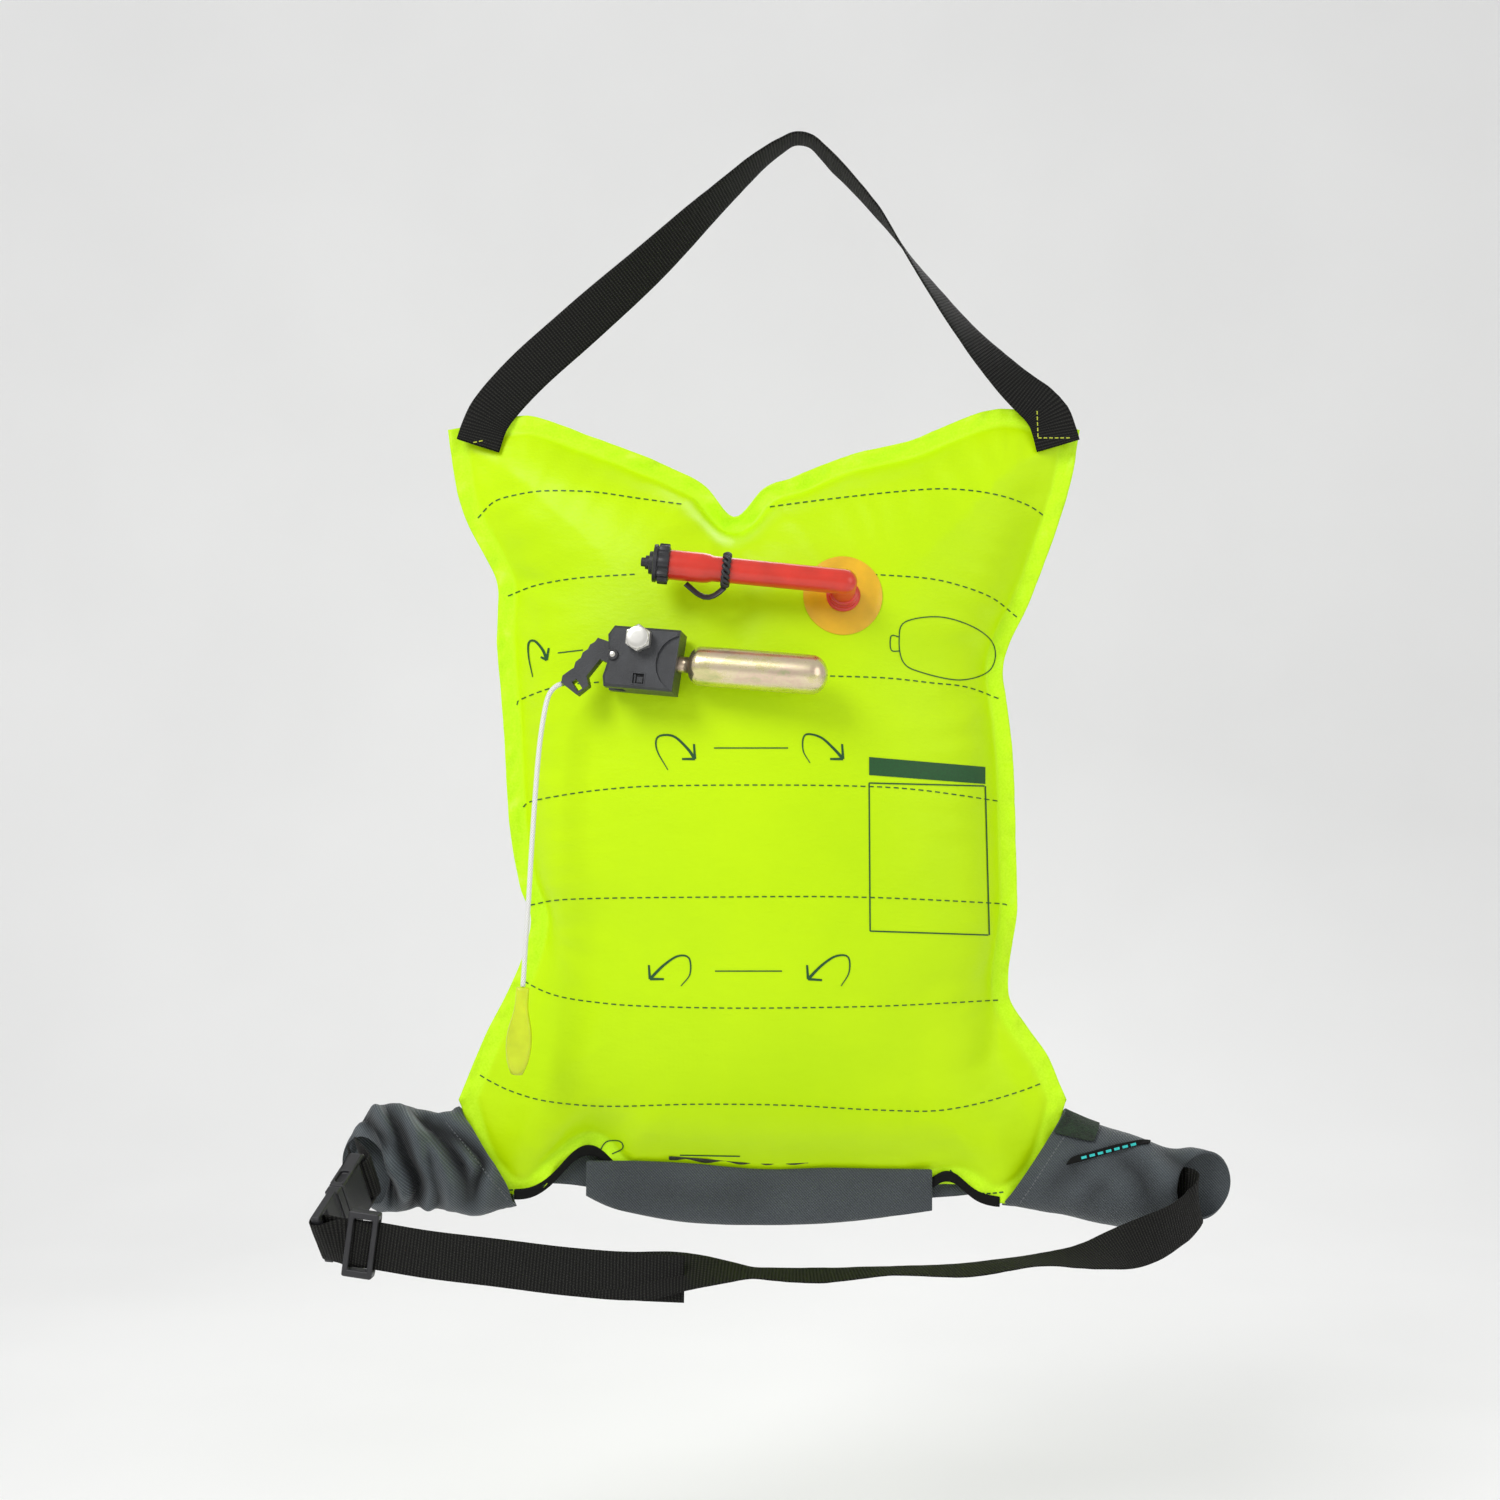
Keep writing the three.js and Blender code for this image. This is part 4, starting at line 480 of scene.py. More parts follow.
def axis_of(node):
    """The middle, the unit axis and the half length of a turned piece, from its frame mesh."""
    bm = welded(node)
    points = np.array([v.co for v in bm.verts])
    bm.free()
    middle = points.mean(0)
    values, vectors = np.linalg.eigh(np.cov((points - middle).T))
    odd = 0 if values[1] - values[0] > values[2] - values[1] else 2
    axis = vectors[:, odd]
    along = (points - middle) @ axis
    middle = middle + axis * (along.max() + along.min()) / 2
    return middle, axis, (along.max() - along.min()) / 2


def ring_faces(rows, sides, first=0, capped=True):
    """Quads round neighbouring rings of points, and a face over each end."""
    faces = []
    for r in range(rows - 1):
        for k in range(sides):
            a, b = first + r * sides + k, first + r * sides + (k + 1) % sides
            faces.append((a, b, b + sides, a + sides))
    if capped:
        faces.append(tuple(first + k for k in range(sides))[::-1])
        faces.append(tuple(first + (rows - 1) * sides + k for k in range(sides)))
    return faces


def lathe(start, axis, rows, sides=48, lobes=None, first=0):
    """Points and faces round an axis. rows holds (distance along, radius) in mm from start."""
    axis = np.array(axis) / np.linalg.norm(axis)
    across = np.cross(axis, (0.1, 0.2, 1.0))
    across /= np.linalg.norm(across)
    other = np.cross(axis, across)
    points = []
    for i, (height, radius) in enumerate(rows):
        for k in range(sides):
            angle = 2 * math.pi * k / sides
            wide = radius * (1 + (lobes(i, angle) if lobes else 0))
            around = across * math.cos(angle) + other * math.sin(angle)
            points.append(np.array(start) + axis * height * MM + around * max(wide, 1e-3) * MM)
    return points, ring_faces(len(rows), sides, first)


def turned(name, node, start, axis, rows, material, lobes=None, replaces=True):
    """A lathe piece that rides with a node, and stands for it unless told otherwise."""
    points, faces = lathe(start, axis, rows, lobes=lobes)
    piece = put(name, points, faces, material, body=frame_body(node))
    fix_normals(piece)
    piece.data.set_sharp_from_angle(angle=math.radians(40))
    if replaces:
        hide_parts(node)
    return piece


def frame_points(node):
    bm = welded(node)
    points = np.array([v.co for v in bm.verts])
    bm.free()
    return points


def bevelled(node, material, width=0.5):
    """The frame node itself, with a better material and rounded edges."""
    piece = NODES[node]
    piece.data.materials.clear()
    piece.data.materials.append(material)
    weld = piece.modifiers.new("weld", "WELD")
    weld.merge_threshold = 2e-6
    bevel = piece.modifiers.new("bevel", "BEVEL")
    bevel.width = width * MM
    bevel.segments = 3
    bevel.limit_method = "ANGLE"
    bevel.angle_limit = math.radians(32)
    bevel.harden_normals = True
    return piece


# Webbing


def is_corner(vertex):
    """Whether three faces meet there at right angles."""
    normals = []
    for face in vertex.link_faces:
        if all(face.normal.dot(n) < 0.9 for n in normals):
            normals.append(face.normal)
    pairs = [abs(a.dot(b)) for i, a in enumerate(normals) for b in normals[i + 1 :]]
    return len(normals) == 3 and max(pairs) < 0.2


def arrises(node):
    """The four long edges of a flat ribbon node, each as points from one end to the other."""
    bm = welded(node)
    sharp = {v: [] for v in bm.verts}
    for edge in bm.edges:
        if len(edge.link_faces) == 2 and math.degrees(edge.calc_face_angle(0)) > 60:
            a, b = edge.verts
            sharp[a].append(b)
            sharp[b].append(a)
    corners = {v for v in bm.verts if is_corner(v)}
    caps = [set(f.verts) for f in bm.faces if corners.issuperset(f.verts)]
    end = set().union(*(cap for cap in caps if cap & caps[0]))
    lines = []
    for corner in sorted(end, key=lambda v: tuple(v.co)):
        before = corner
        here = next(v for v in sharp[corner] if v not in end)
        line = [corner.co.copy(), here.co.copy()]
        while here not in corners:
            run = (here.co - before.co).normalized()
            ahead = [v for v in sharp[here] if v is not before]
            here, before = max(ahead, key=lambda v: (v.co - here.co).normalized().dot(run)), here
            line.append(here.co.copy())
        lines.append(np.array(line))
    bm.free()
    return lines


def ribbon_sides(node, step=2.0):
    """The middle lines of a ribbon's two edges, its thickness and its outward directions, resampled."""
    lines = arrises(node)
    count = min(len(line) for line in lines)
    if any(len(line) != count for line in lines):
        lines = [resample(line, count) for line in lines]
    base = lines[0]
    near = min(range(1, 4), key=lambda i: np.linalg.norm(lines[i][0] - base[0]))
    others = [i for i in range(1, 4) if i != near]
    far = min(others, key=lambda i: np.linalg.norm(lines[i][0] - lines[near][0]))
    last = next(i for i in others if i != far)
    # lines 0 and near are one edge's two arrises; far lies beside near on the other edge
    left = (base + lines[near]) / 2
    right = (lines[last] + lines[far]) / 2
    out = ((lines[near] - base) + (lines[far] - lines[last])) / 2
    both = smooth_line(np.hstack([left, right, out]), step * MM)
    return both[:, :3], both[:, 3:6], both[:, 6:9]


def resample(line, count):
    place = lengths_along(line)
    want = np.linspace(0, place[-1], count)
    return np.stack([np.interp(want, place, line[:, i]) for i in range(3)], 1)


def webbing(name, node, material, across=12, wave=0.25, seed=1.0, short=0, turn=0):
    """Woven tape over a ribbon node: rounded edges, and a little unevenness along it.

    short leaves steps off its higher end, and turn rolls it about its own run, in degrees."""
    left, right, out = ribbon_sides(node)
    if short:
        keep = slice(None, -short) if left[-1, 1] > left[0, 1] else slice(short, None)
        left, right, out = left[keep], right[keep], out[keep]
    if turn:
        mid = (left + right) / 2
        for i, run in enumerate(np.gradient(mid, axis=0)):
            roll = Matrix.Rotation(math.radians(turn), 3, Vector(run))
            side = np.array(roll @ Vector(left[i] - mid[i]))
            left[i], right[i] = mid[i] + side, mid[i] - side
            out[i] = np.array(roll @ Vector(out[i]))
    place = lengths_along((left + right) / 2)
    width = np.linalg.norm(right[0] - left[0])
    thickness = np.linalg.norm(out, axis=1, keepdims=True)
    out = out / thickness
    half = thickness.mean() / 2
    shares = np.linspace(0, 1, across + 1)
    edge = np.sin(np.pi * np.clip(shares, 0.02, 0.98)) ** 0.18
    ring = [(s, half * e) for s, e in zip(shares, edge)]
    ring += [(s, -half * e) for s, e in zip(shares[::-1], edge[::-1])]
    rows = []
    uvs = []
    for i in range(len(left)):
        sway = wave * MM * noise.noise(Vector((place[i] * 30, seed, 0)))
        for s, lift in ring:
            ruck = 0.12 * MM * noise.noise(Vector((place[i] * 160, s * 6, seed)))
            rows.append(left[i] + (right[i] - left[i]) * s + out[i] * (lift + sway + ruck))
            uvs.append((s * width, place[i]))
    piece = put(name, rows, ring_faces(len(left), len(ring)), material, uvs=uvs)
    fix_normals(piece)
    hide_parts(node)
    return piece, float(width), float(place[-1])


def fix_normals(piece):
    bm = bmesh.new()
    bm.from_mesh(piece.data)
    bmesh.ops.recalc_face_normals(bm, faces=bm.faces)
    bm.to_mesh(piece.data)
    bm.free()


make_camera()

lime = film_material()
webbing_black = webbing_material("webbing", (0.012, 0.012, 0.0105))
pouch_grey = cloth_material("grey_cloth", (0.055, 0.066, 0.073))
black_plastic = plastic_material("black_plastic", (0.022, 0.022, 0.025))
head_plastic = plastic_material("head_plastic", (0.034, 0.036, 0.040), 0.4, 0.0002, 0.35)
red_tube = soft_pvc_material("red_tube", (0.68, 0.034, 0.016), 0.3, 0.2)
orange_film = soft_pvc_material("orange_film", (0.80, 0.47, 0.004), 0.38, 0.2)
yellow_plastic = soft_pvc_material("yellow_plastic", (0.62, 0.74, 0.004), 0.4, 0.2)
white_cord = cord_material()
zinc = zinc_material()
steel = steel_material()
# painted shade: near black, for the floor of the inflator's window
hole_painted_shade = plastic_material("hole_painted_shade", (0.006, 0.006, 0.007), 0.6)
hook_pile = pile_material("hook_tape", (0.030, 0.036, 0.010))
# black hook tape coloured darker and greener: painted shade, with a painted green cast of light from the cell
tab_pile_shaded_green = pile_material("tab_pile_shaded_green", (0.006, 0.020, 0.007))
green_ink = ink_material("green_ink", (0.006, 0.075, 0.012))
teal_ink = ink_material("teal_ink", (0.02, 0.50, 0.48))
yellow_thread = thread_material("yellow_thread", (0.55, 0.62, 0.05))
grey_thread = thread_material("grey_thread", (0.15, 0.16, 0.17))

# Pull cord

CORD_POINTS = [
    (-138.6, -58, -317),
    (-141, -58.6, -327),
    (-143.6, -59.4, -346),
    (-145.8, -60, -373),
    (-147.6, -60, -400),
    (-149.3, -59, -427),
    (-151, -58, -450),
    (-152, -57.5, -466),
    (-152.6, -57, -474),
]
CORD_TOP = [(-131.43, -57.97, -310.52), (-135.0, -57.7, -312.2)]
CORD_DIAMETER = 2.7 * MM


def tube_mesh(name, line, radius, material, sides=12, body="pack"):
    """A round tube along a line of points, with rounded ends."""
    line = np.asarray(line, float)
    count = len(line)
    place = lengths_along(line)
    tangents = np.gradient(line, axis=0)
    tangents /= np.linalg.norm(tangents, axis=1, keepdims=True)
    side = np.cross(tangents[0], (0, 1, 0.01))
    points = []
    uvs = []
    for i in range(count):
        side = side - tangents[i] * (side @ tangents[i])
        side /= np.linalg.norm(side)
        other = np.cross(tangents[i], side)
        for k in range(sides):
            angle = 2 * math.pi * k / sides
            points.append(line[i] + (side * math.cos(angle) + other * math.sin(angle)) * radius)
            uvs.append((radius * angle, place[i]))
    piece = put(name, points, ring_faces(count, sides), material, uvs=uvs, body=body)
    fix_normals(piece)
    return piece


handle = rounded("pull_handle_body", "pull_handle", yellow_plastic, 2, 50, 0.45)
cord_line = smooth_line(np.array(CORD_TOP + CORD_POINTS) * MM, 1.5 * MM)
cord = tube_mesh("braided_cord", cord_line, CORD_DIAMETER / 2, white_cord, body=None)
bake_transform(cord)
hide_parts("pull_cord")

# Air cell

WELD = 10 * MM  # the flat margin where its two sheets are welded
SHEET = 0.9 * MM


def cell_outline():
    """The weld's outer edge in order, as x and z, from the frame's mesh."""
    bm = welded("bladder")
    flat = 1.6 * MM
    rim = [f for f in bm.faces if all(abs(v.co.y) < flat for v in f.verts)]
    rim = [f for f in rim if abs(f.normal.y) < 0.3 and len({v.co.y > 0 for v in f.verts}) == 2]
    links = {}
    for face in rim:
        for edge in face.edges:
            a, b = edge.verts
            if a.co.y < 0 and b.co.y < 0:
                links.setdefault(a.index, []).append(b.index)
                links.setdefault(b.index, []).append(a.index)
    start = next(iter(links))
    order = [start]
    before = None
    while True:
        choices = [i for i in links[order[-1]] if i != before]
        before = order[-1]
        if not choices or choices[0] == start:
            break
        order.append(choices[0])
    line = np.array([[bm.verts[i].co.x, bm.verts[i].co.z] for i in order])
    tree = BVHTree.FromBMesh(bm)
    bm.free()
    area = np.sum(line[:, 0] * np.roll(line[:, 1], -1) - np.roll(line[:, 0], -1) * line[:, 1])
    return (line if area > 0 else line[::-1]), tree


def nearest_row(line, x, z):
    return int(np.argmin(np.hypot(line[:, 0] - x, line[:, 1] - z)))


def stretch_of(line, start, end):
    """The closed line's points from start to end, going forward."""
    if end <= start:
        end += len(line)
    return line[[i % len(line) for i in range(start, end + 1)]]


def even(line, shares):
    place = lengths_along(line)
    want = np.asarray(shares) * place[-1]
    return np.stack([np.interp(want, place, line[:, i]) for i in range(line.shape[1])], 1)


def edge_shares(count, margin):
    """Steps from 0 to 1, closer together near both ends."""
    near = np.linspace(0, margin, 9)[:-1]
    return np.concatenate([near, np.linspace(margin, 1 - margin, count), 1 - near[::-1]])


def fbm(points, scale, seed, octaves=3):
    """Smooth noise between about -1 and 1 for each point."""
    made = np.zeros(len(points))
    shift = Vector((seed * 17.3, seed * 5.1, seed * 9.7))
    for i, p in enumerate(points):
        made[i] = noise.fractal(Vector(p) * scale + shift, 1.0, 2.0, octaves)
    return made


CELL_COLS = 138
CELL_ROWS = 168
# The outline's four corners, as shares of the cell's width in from its side, and of its height from its ends
CORNER_INSET = 0.02
LOWER_CORNER = 0.129
UPPER_CORNER = 0.027
DEPTH_ROUNDS = 46  # turns of smoothing of the frame's depth
RISE = 24 * MM  # how far from the weld the cell takes to swell
PUCKER = 17 * MM  # from one pucker along the weld to the next
CREASE_PLANE = 30 * MM  # how far before the weld the creases' pixels are read

# Creases of the cell's front, as lines of photo pixels, with depth and half width in mm.
CELL_CREASES = [
    ([(730, 522), (722, 560), (700, 600)], 2.2, 5),
    ([(731, 524), (745, 566), (772, 596)], 1.8, 5),
    ([(728, 518), (690, 536), (640, 545)], 1.6, 6),
    ([(732, 518), (790, 532), (840, 536)], 1.4, 6),
    ([(500, 576), (530, 580), (570, 590)], 2.6, 5),
    ([(503, 590), (524, 612), (545, 640)], 1.4, 5),
    ([(525, 927), (556, 930), (592, 922)], 2.8, 5),
    ([(524, 930), (560, 948), (610, 958)], 1.6, 5),
    ([(1003, 680), (976, 690), (940, 694)], 1.8, 6),
    ([(1011, 990), (980, 998), (944, 1012)], 2.8, 5),
    ([(1008, 996), (984, 1016), (960, 1024)], 1.6, 5),
    ([(478, 470), (520, 496), (560, 512)], 1.4, 8),
    ([(1056, 486), (1010, 506), (970, 520)], 1.4, 8),
    ([(600, 1150), (622, 1120), (640, 1080)], 1.8, 8),
    ([(940, 1160), (918, 1124), (902, 1086)], 1.8, 8),
    ([(520, 1180), (540, 1140), (548, 1100)], 1.5, 9),
    ([(1000, 1180), (988, 1136), (986, 1096)], 1.5, 9),
]


def photo_plane(points, depth=0.0):
    """Photo pixels as x and z in the plane that stands depth in front of the weld."""
    scale = PIXEL * (-CAMERA_AT.y - depth) / -CAMERA_AT.y
    return np.array([(CAMERA_AT.x + (x - HALF) * scale, CAMERA_AT.z + (HALF - y) * scale) for x, y in points])


def line_distance(points, line):
    """Each point's distance to a line, and how far along the line its nearest place is."""
    best = np.full(len(points), 1e9)
    where = np.zeros(len(points))
    place = lengths_along(line)
    for i, (a, b) in enumerate(zip(line[:-1], line[1:])):
        span = b - a
        t = np.clip((points - a) @ span / max(span @ span, 1e-12), 0, 1)
        gap = np.linalg.norm(points - a - t[:, None] * span, axis=1)
        closer = gap < best
        best[closer] = gap[closer]
        where[closer] = (place[i] + t * np.linalg.norm(span))[closer]
    return best, where


def smoothstep(x, low, high):
    t = np.clip((x - low) / (high - low), 0, 1)
    return t * t * (3 - 2 * t)


def even_out(field, fixed, turns):
    for _ in range(turns):
        mean = field.copy()
        mean[1:-1, 1:-1] = (field[:-2, 1:-1] + field[2:, 1:-1] + field[1:-1, :-2] + field[1:-1, 2:]) / 4
        field = np.where(fixed, field, 0.5 * field + 0.5 * mean)
    return field


def away_from(node, points):
    """0 under a node that sits on the cell, rising to 1 a little way off it."""
    low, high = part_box(node)
    reach = np.hypot(high.x - low.x, high.z - low.z) / 2
    gap = np.hypot(points[:, 0] - (low.x + high.x) / 2, points[:, 1] - (low.z + high.z) / 2)
    return smoothstep(gap, reach * 0.8, reach * 0.8 + 22 * MM)


def make_cell():
    raw, tree = cell_outline()
    low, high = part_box("bladder")
    size = high - low
    inset = CORNER_INSET * size.x
    lower, upper = low.z + LOWER_CORNER * size.z, high.z - UPPER_CORNER * size.z
    corners = [(low.x + inset, lower), (high.x - inset, lower), (high.x, upper), (low.x, upper)]
    corners = [nearest_row(raw, x, z) for x, z in corners]
    sides = [smooth_line(stretch_of(raw, corners[i], corners[(i + 1) % 4]), 2 * MM) for i in range(4)]
    outline = np.vstack([s[:-1] for s in sides])
    u = edge_shares(CELL_COLS, 0.036)
    v = edge_shares(CELL_ROWS, 0.03)
    bottom, right = even(sides[0], u), even(sides[1], v)
    top, left = even(sides[2], 1 - u), even(sides[3], 1 - v)
    uu, vv = np.meshgrid(u, v)
    uu, vv = uu[..., None], vv[..., None]
    flat = (1 - vv) * bottom + vv * top + (1 - uu) * left[:, None] + uu * right[:, None]
    flat -= (1 - uu) * (1 - vv) * bottom[0] + uu * (1 - vv) * bottom[-1]
    flat -= (1 - uu) * vv * top[0] + uu * vv * top[-1]
    shape = flat.shape[:2]
    points = flat.reshape(-1, 2)
    ring = np.vstack([outline, outline[:1]])
    edge, along = line_distance(points, ring)
    edge, along = edge.reshape(shape), along.reshape(shape)

    def depth_of(side):
        """The side's smoothed depth, from the frame's mesh, with a crisp rise at the weld."""
        found = np.zeros(len(points))
        for i, (x, z) in enumerate(points):
            hit = tree.ray_cast(Vector((x, side * 0.2, z)), Vector((0, -side, 0)))
            found[i] = abs(hit[0].y) if hit[0] else 0
        rise = (1 - np.exp(-np.clip(edge - WELD, 0, 1) / RISE)) ** 0.62
        share = found.reshape(shape) / np.maximum(rise, 0.2)
        fixed = np.zeros(shape, bool)
        fixed[[0, -1]] = True
        fixed[:, [0, -1]] = True
        share = even_out(share, fixed, DEPTH_ROUNDS)
        return np.where(edge > WELD, share * rise, 0)

    spots = np.column_stack([points[:, 0], np.zeros(len(points)), points[:, 1]])
    curl = fbm(spots, 55, 1).reshape(shape) + 0.6 * fbm(spots, 130, 2).reshape(shape)
    curl *= smoothstep(WELD * 1.1 - edge, 0, WELD) * 2.4 * MM
    corner_calm = smoothstep(np.abs(points[:, 0] - (low.x + high.x) / 2).reshape(shape), 0, 0.12)
    made = []
    for side, seed in ((-1, 3), (1, 7)):
        depth = depth_of(side)
        inside = np.clip(edge - WELD, 0, 1)
        phase = along / PUCKER * 2 * math.pi + 3.5 * fbm(spots, 16, seed).reshape(shape)
        strength = 0.5 + 0.5 * fbm(spots, 12, seed + 1).reshape(shape)
        pucker = (0.5 + 0.5 * np.sin(phase)) * strength * np.exp(-inside / (15 * MM))
        pucker *= 0.5 + 0.5 * corner_calm
        depth = depth * (1 - 0.3 * np.clip(pucker, 0, 1))
        broad = fbm(spots, 9, seed + 2, 2).reshape(shape) * 1.6 * MM * smoothstep(inside, 0, 40 * MM)
        if side < 0:
            for node in ("oral_patch", "inflator_stem", "pull_handle"):
                broad *= away_from(node, points).reshape(shape)
        depth = depth + broad
        if side < 0:
            for line, deep, wide in CELL_CREASES:
                path = smooth_line(photo_plane(line, CREASE_PLANE), 4 * MM)
                gap, where = line_distance(points, path)
                total = lengths_along(path)[-1]
                fade = 1 - smoothstep(where, 0.45 * total, total)
                reach = gap / (wide * MM)
                dent = np.exp(-(reach**2)) - 0.5 * np.exp(-((reach / 2.1) ** 2))
                dent *= fade * deep * MM * away_from("oral_patch", points)
                depth = depth - dent.reshape(shape) * smoothstep(inside, 0, 12 * MM)
        depth = np.maximum(depth, 0)
        made.append(side * (SHEET + depth) + curl)
    front = [(p[0], y, p[1]) for p, y in zip(points, made[0].ravel())]
    back = [(p[0], y, p[1]) for p, y in zip(points, made[1].ravel())]
    rows, cols = shape
    count = rows * cols
    faces = grid_faces(rows, cols) + grid_faces(rows, cols, count, flip=True)
    loop = list(range(cols)) + [r * cols + cols - 1 for r in range(1, rows)]
    loop += [(rows - 1) * cols + c for c in range(cols - 2, -1, -1)]
    loop += [r * cols for r in range(rows - 2, 0, -1)]
    for a, b in zip(loop, loop[1:] + loop[:1]):
        faces.append((a, a + count, b + count, b))
    cell = put("air_cell", front + back, faces, lime)
    # the weld mask, which the film's material also uses for its painted highlight
    weld = np.tile(1 - smoothstep(edge.ravel(), WELD * 0.85, WELD * 1.15), 2)
    cell.data.attributes.new("weld", "FLOAT", "POINT").data.foreach_set("value", weld.astype(np.float32))
    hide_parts("bladder")
    return cell


def tree_of(piece):
    mesh = piece.data
    return BVHTree.FromPolygons([v.co for v in mesh.vertices], [p.vertices for p in mesh.polygons])


air_cell = make_cell()
cell_tree = tree_of(air_cell)


def shown_at(tree, x, y, lift):
    """The place on a surface that the photo's pixel shows, lifted off it by lift in mm."""
    ray = Vector(((x - HALF) * PIXEL, -CAMERA_AT.y, (HALF - y) * PIXEL)).normalized()
    place, normal, _, _ = tree.ray_cast(CAMERA_AT, ray)
    return None if place is None else place + normal * lift * MM


def pixels_of(points):
    """The photo's pixel that each point in space is seen at."""
    scale = PIXEL * (points[:, 1] - CAMERA_AT.y) / -CAMERA_AT.y
    x = HALF + (points[:, 0] - CAMERA_AT.x) / scale
    return np.stack([x, HALF - (points[:, 2] - CAMERA_AT.z) / scale], 1)


# Prints and other thin things on the cell


def ray_at(x, z):
    """The place and normal on the cell's front straight behind x and z in metres."""
    place, normal, _, _ = cell_tree.ray_cast(Vector((x, -0.2, z)), Vector((0, 1, 0)))
    return place, normal


class Print:
    """Flat marks that lie on a surface, collected in one mesh. Their places are photo pixels."""

    def __init__(self, tree, lift=0.3):
        self.tree = tree
        self.lift = lift
        self.points = []
        self.faces = []

    def strip(self, left, right, closed=False):
        """A band between two rows of pixels, as far as the cell lies under it."""
        made = []
        for pair in zip(left, right):
            hits = [shown_at(self.tree, x, y, self.lift) for x, y in pair]
            if None in hits:
                made.append(None)
                continue
            made.append(len(self.points))
            self.points += hits
        if closed:
            made.append(made[0])
        for a, b in zip(made, made[1:]):
            if a is not None and b is not None:
                self.faces.append((a, a + 1, b + 1, b))

    def stroke(self, pixels, wide=1.3, thin=None, closed=False, step=2.5):
        """A line through pixels, as wide as wide at its end and as thin at its start, in pixels."""
        line = smooth_line(np.array(pixels, float), step, closed)
        run = np.gradient(line, axis=0)
        if closed:
            run = np.roll(line, -1, 0) - np.roll(line, 1, 0)
        run /= np.linalg.norm(run, axis=1, keepdims=True)
        across = np.stack([-run[:, 1], run[:, 0]], 1)
        width = np.linspace(wide if thin is None else thin, wide, len(line))[:, None]
        self.strip(line + across * width / 2, line - across * width / 2, closed)

    def dashes(self, pixels, dash=5.0, period=8.3, wide=1.2):
        line = smooth_line(np.array(pixels, float), 1.0)
        place = lengths_along(line)
        for start in np.arange(0, place[-1] - dash, period):
            want = np.linspace(start, start + dash, 4)
            part = np.stack([np.interp(want, place, line[:, i]) for i in (0, 1)], 1)
            self.stroke(part, wide, step=1.6)

    def block(self, corners, steps=(24, 6)):
        """A filled four-sided area, from its top left corner clockwise."""
        a, b, c, d = [np.array(corner, float) for corner in corners]
        shares = np.linspace(0, 1, steps[0])[:, None]
        rows = []
        for t in np.linspace(0, 1, steps[1] + 1):
            left, right = a + (d - a) * t, b + (c - b) * t
            rows.append(left * (1 - shares) + right * shares)
        for upper, lower in zip(rows, rows[1:]):
            self.strip(upper, lower)

    def arrow(self, tail, head):
        """A brushed arrow: the shaft grows toward its point, with two short strokes behind it."""
        self.stroke(tail + [head[0]], 3.0, 0.9)
        for barb in head[1:]:
            self.stroke([barb, head[0]], 2.6, 2.0)

    def make(self, name, material):
        piece = put(name, self.points, self.faces, material)
        return piece


# The dashed lines to fold the cell along
FOLD_LINES = [
    [(478, 518), (494, 502), (516, 495), (544, 491), (592, 492), (635, 498), (685, 505)],
    [(770, 507), (832, 499), (896, 492), (947, 489), (993, 494), (1027, 505), (1048, 519)],
    [(508, 596), (538, 585), (579, 578), (640, 574)],
    [(864, 574), (924, 578), (958, 585), (992, 598), (1018, 618)],
    [(517, 705), (522, 699), (559, 686), (600, 682)],
    [(830, 676), (886, 678), (932, 683), (966, 687), (1000, 699)],
    [(523, 807), (533, 801), (570, 794), (609, 789), (657, 786), (755, 785), (854, 786)]
    + [(920, 790), (1004, 802)],
    [(530, 905), (573, 899), (714, 897), (856, 897), (990, 903), (1009, 906)],
    [(524, 981), (541, 990), (562, 997), (594, 1002), (643, 1006), (745, 1008), (880, 1006), (1000, 1000)],
    [(480, 1075), (490, 1081), (511, 1091), (541, 1100), (582, 1105), (623, 1106), (698, 1104), (786, 1105)]
    + [(860, 1109), (923, 1111), (956, 1108), (988, 1101), (1021, 1091), (1047, 1081)],
]
# The arrows that show which way to fold: the tail's points, then the head's tip and its two strokes
ARROWS = [
    ([(668, 770), (657, 750), (658, 737), (673, 736), (687, 748)], [(695, 759), (682, 759), (694, 744)]),
    ([(810, 763), (803, 750), (805, 735), (820, 737), (833, 748)], [(843, 759), (830, 759), (842, 744)]),
    ([(681, 986), (690, 974), (689, 958), (678, 956), (664, 965)], [(650, 979), (649, 965), (664, 979)]),
    ([(841, 986), (849, 972), (848, 957), (836, 956), (822, 965)], [(808, 979), (807, 965), (822, 980)]),
    ([(533, 677), (529, 657), (529, 643), (535, 641), (543, 650)], [(547, 660), (541, 657), (549, 648)]),
]
RULES = [
    [(714, 748), (788, 748)],
    [(715, 971), (782, 971)],
    [(558, 653), (583, 650)],
    [(680, 1155), (740, 1156)],
    [(598, 1155), (606, 1142), (620, 1141), (623, 1148), (612, 1154)],
]
BOTTLE = [(905, 622), (940, 617), (975, 628), (994, 646), (990, 670)]
BOTTLE += [(960, 680), (920, 672), (903, 662), (899, 640)]
BOTTLE_NECK = [(899, 637), (891, 636), (891, 650), (900, 651)]
SEAM_LINES = [
    [(509, 1190), (537, 1187), (560, 1176), (576, 1160), (592, 1147)],
    [(950, 1170), (964, 1184), (980, 1193), (1006, 1192)],
]
# A filled bar, and an empty frame under it
BAR = [(869, 757), (985, 767), (985, 784), (869, 775)]
FRAME_SIDES = [[(869, 783), (984, 786)], [(985, 786), (989, 935)]]
FRAME_SIDES += [[(988, 935), (870, 931)], [(870, 931), (869, 783)]]

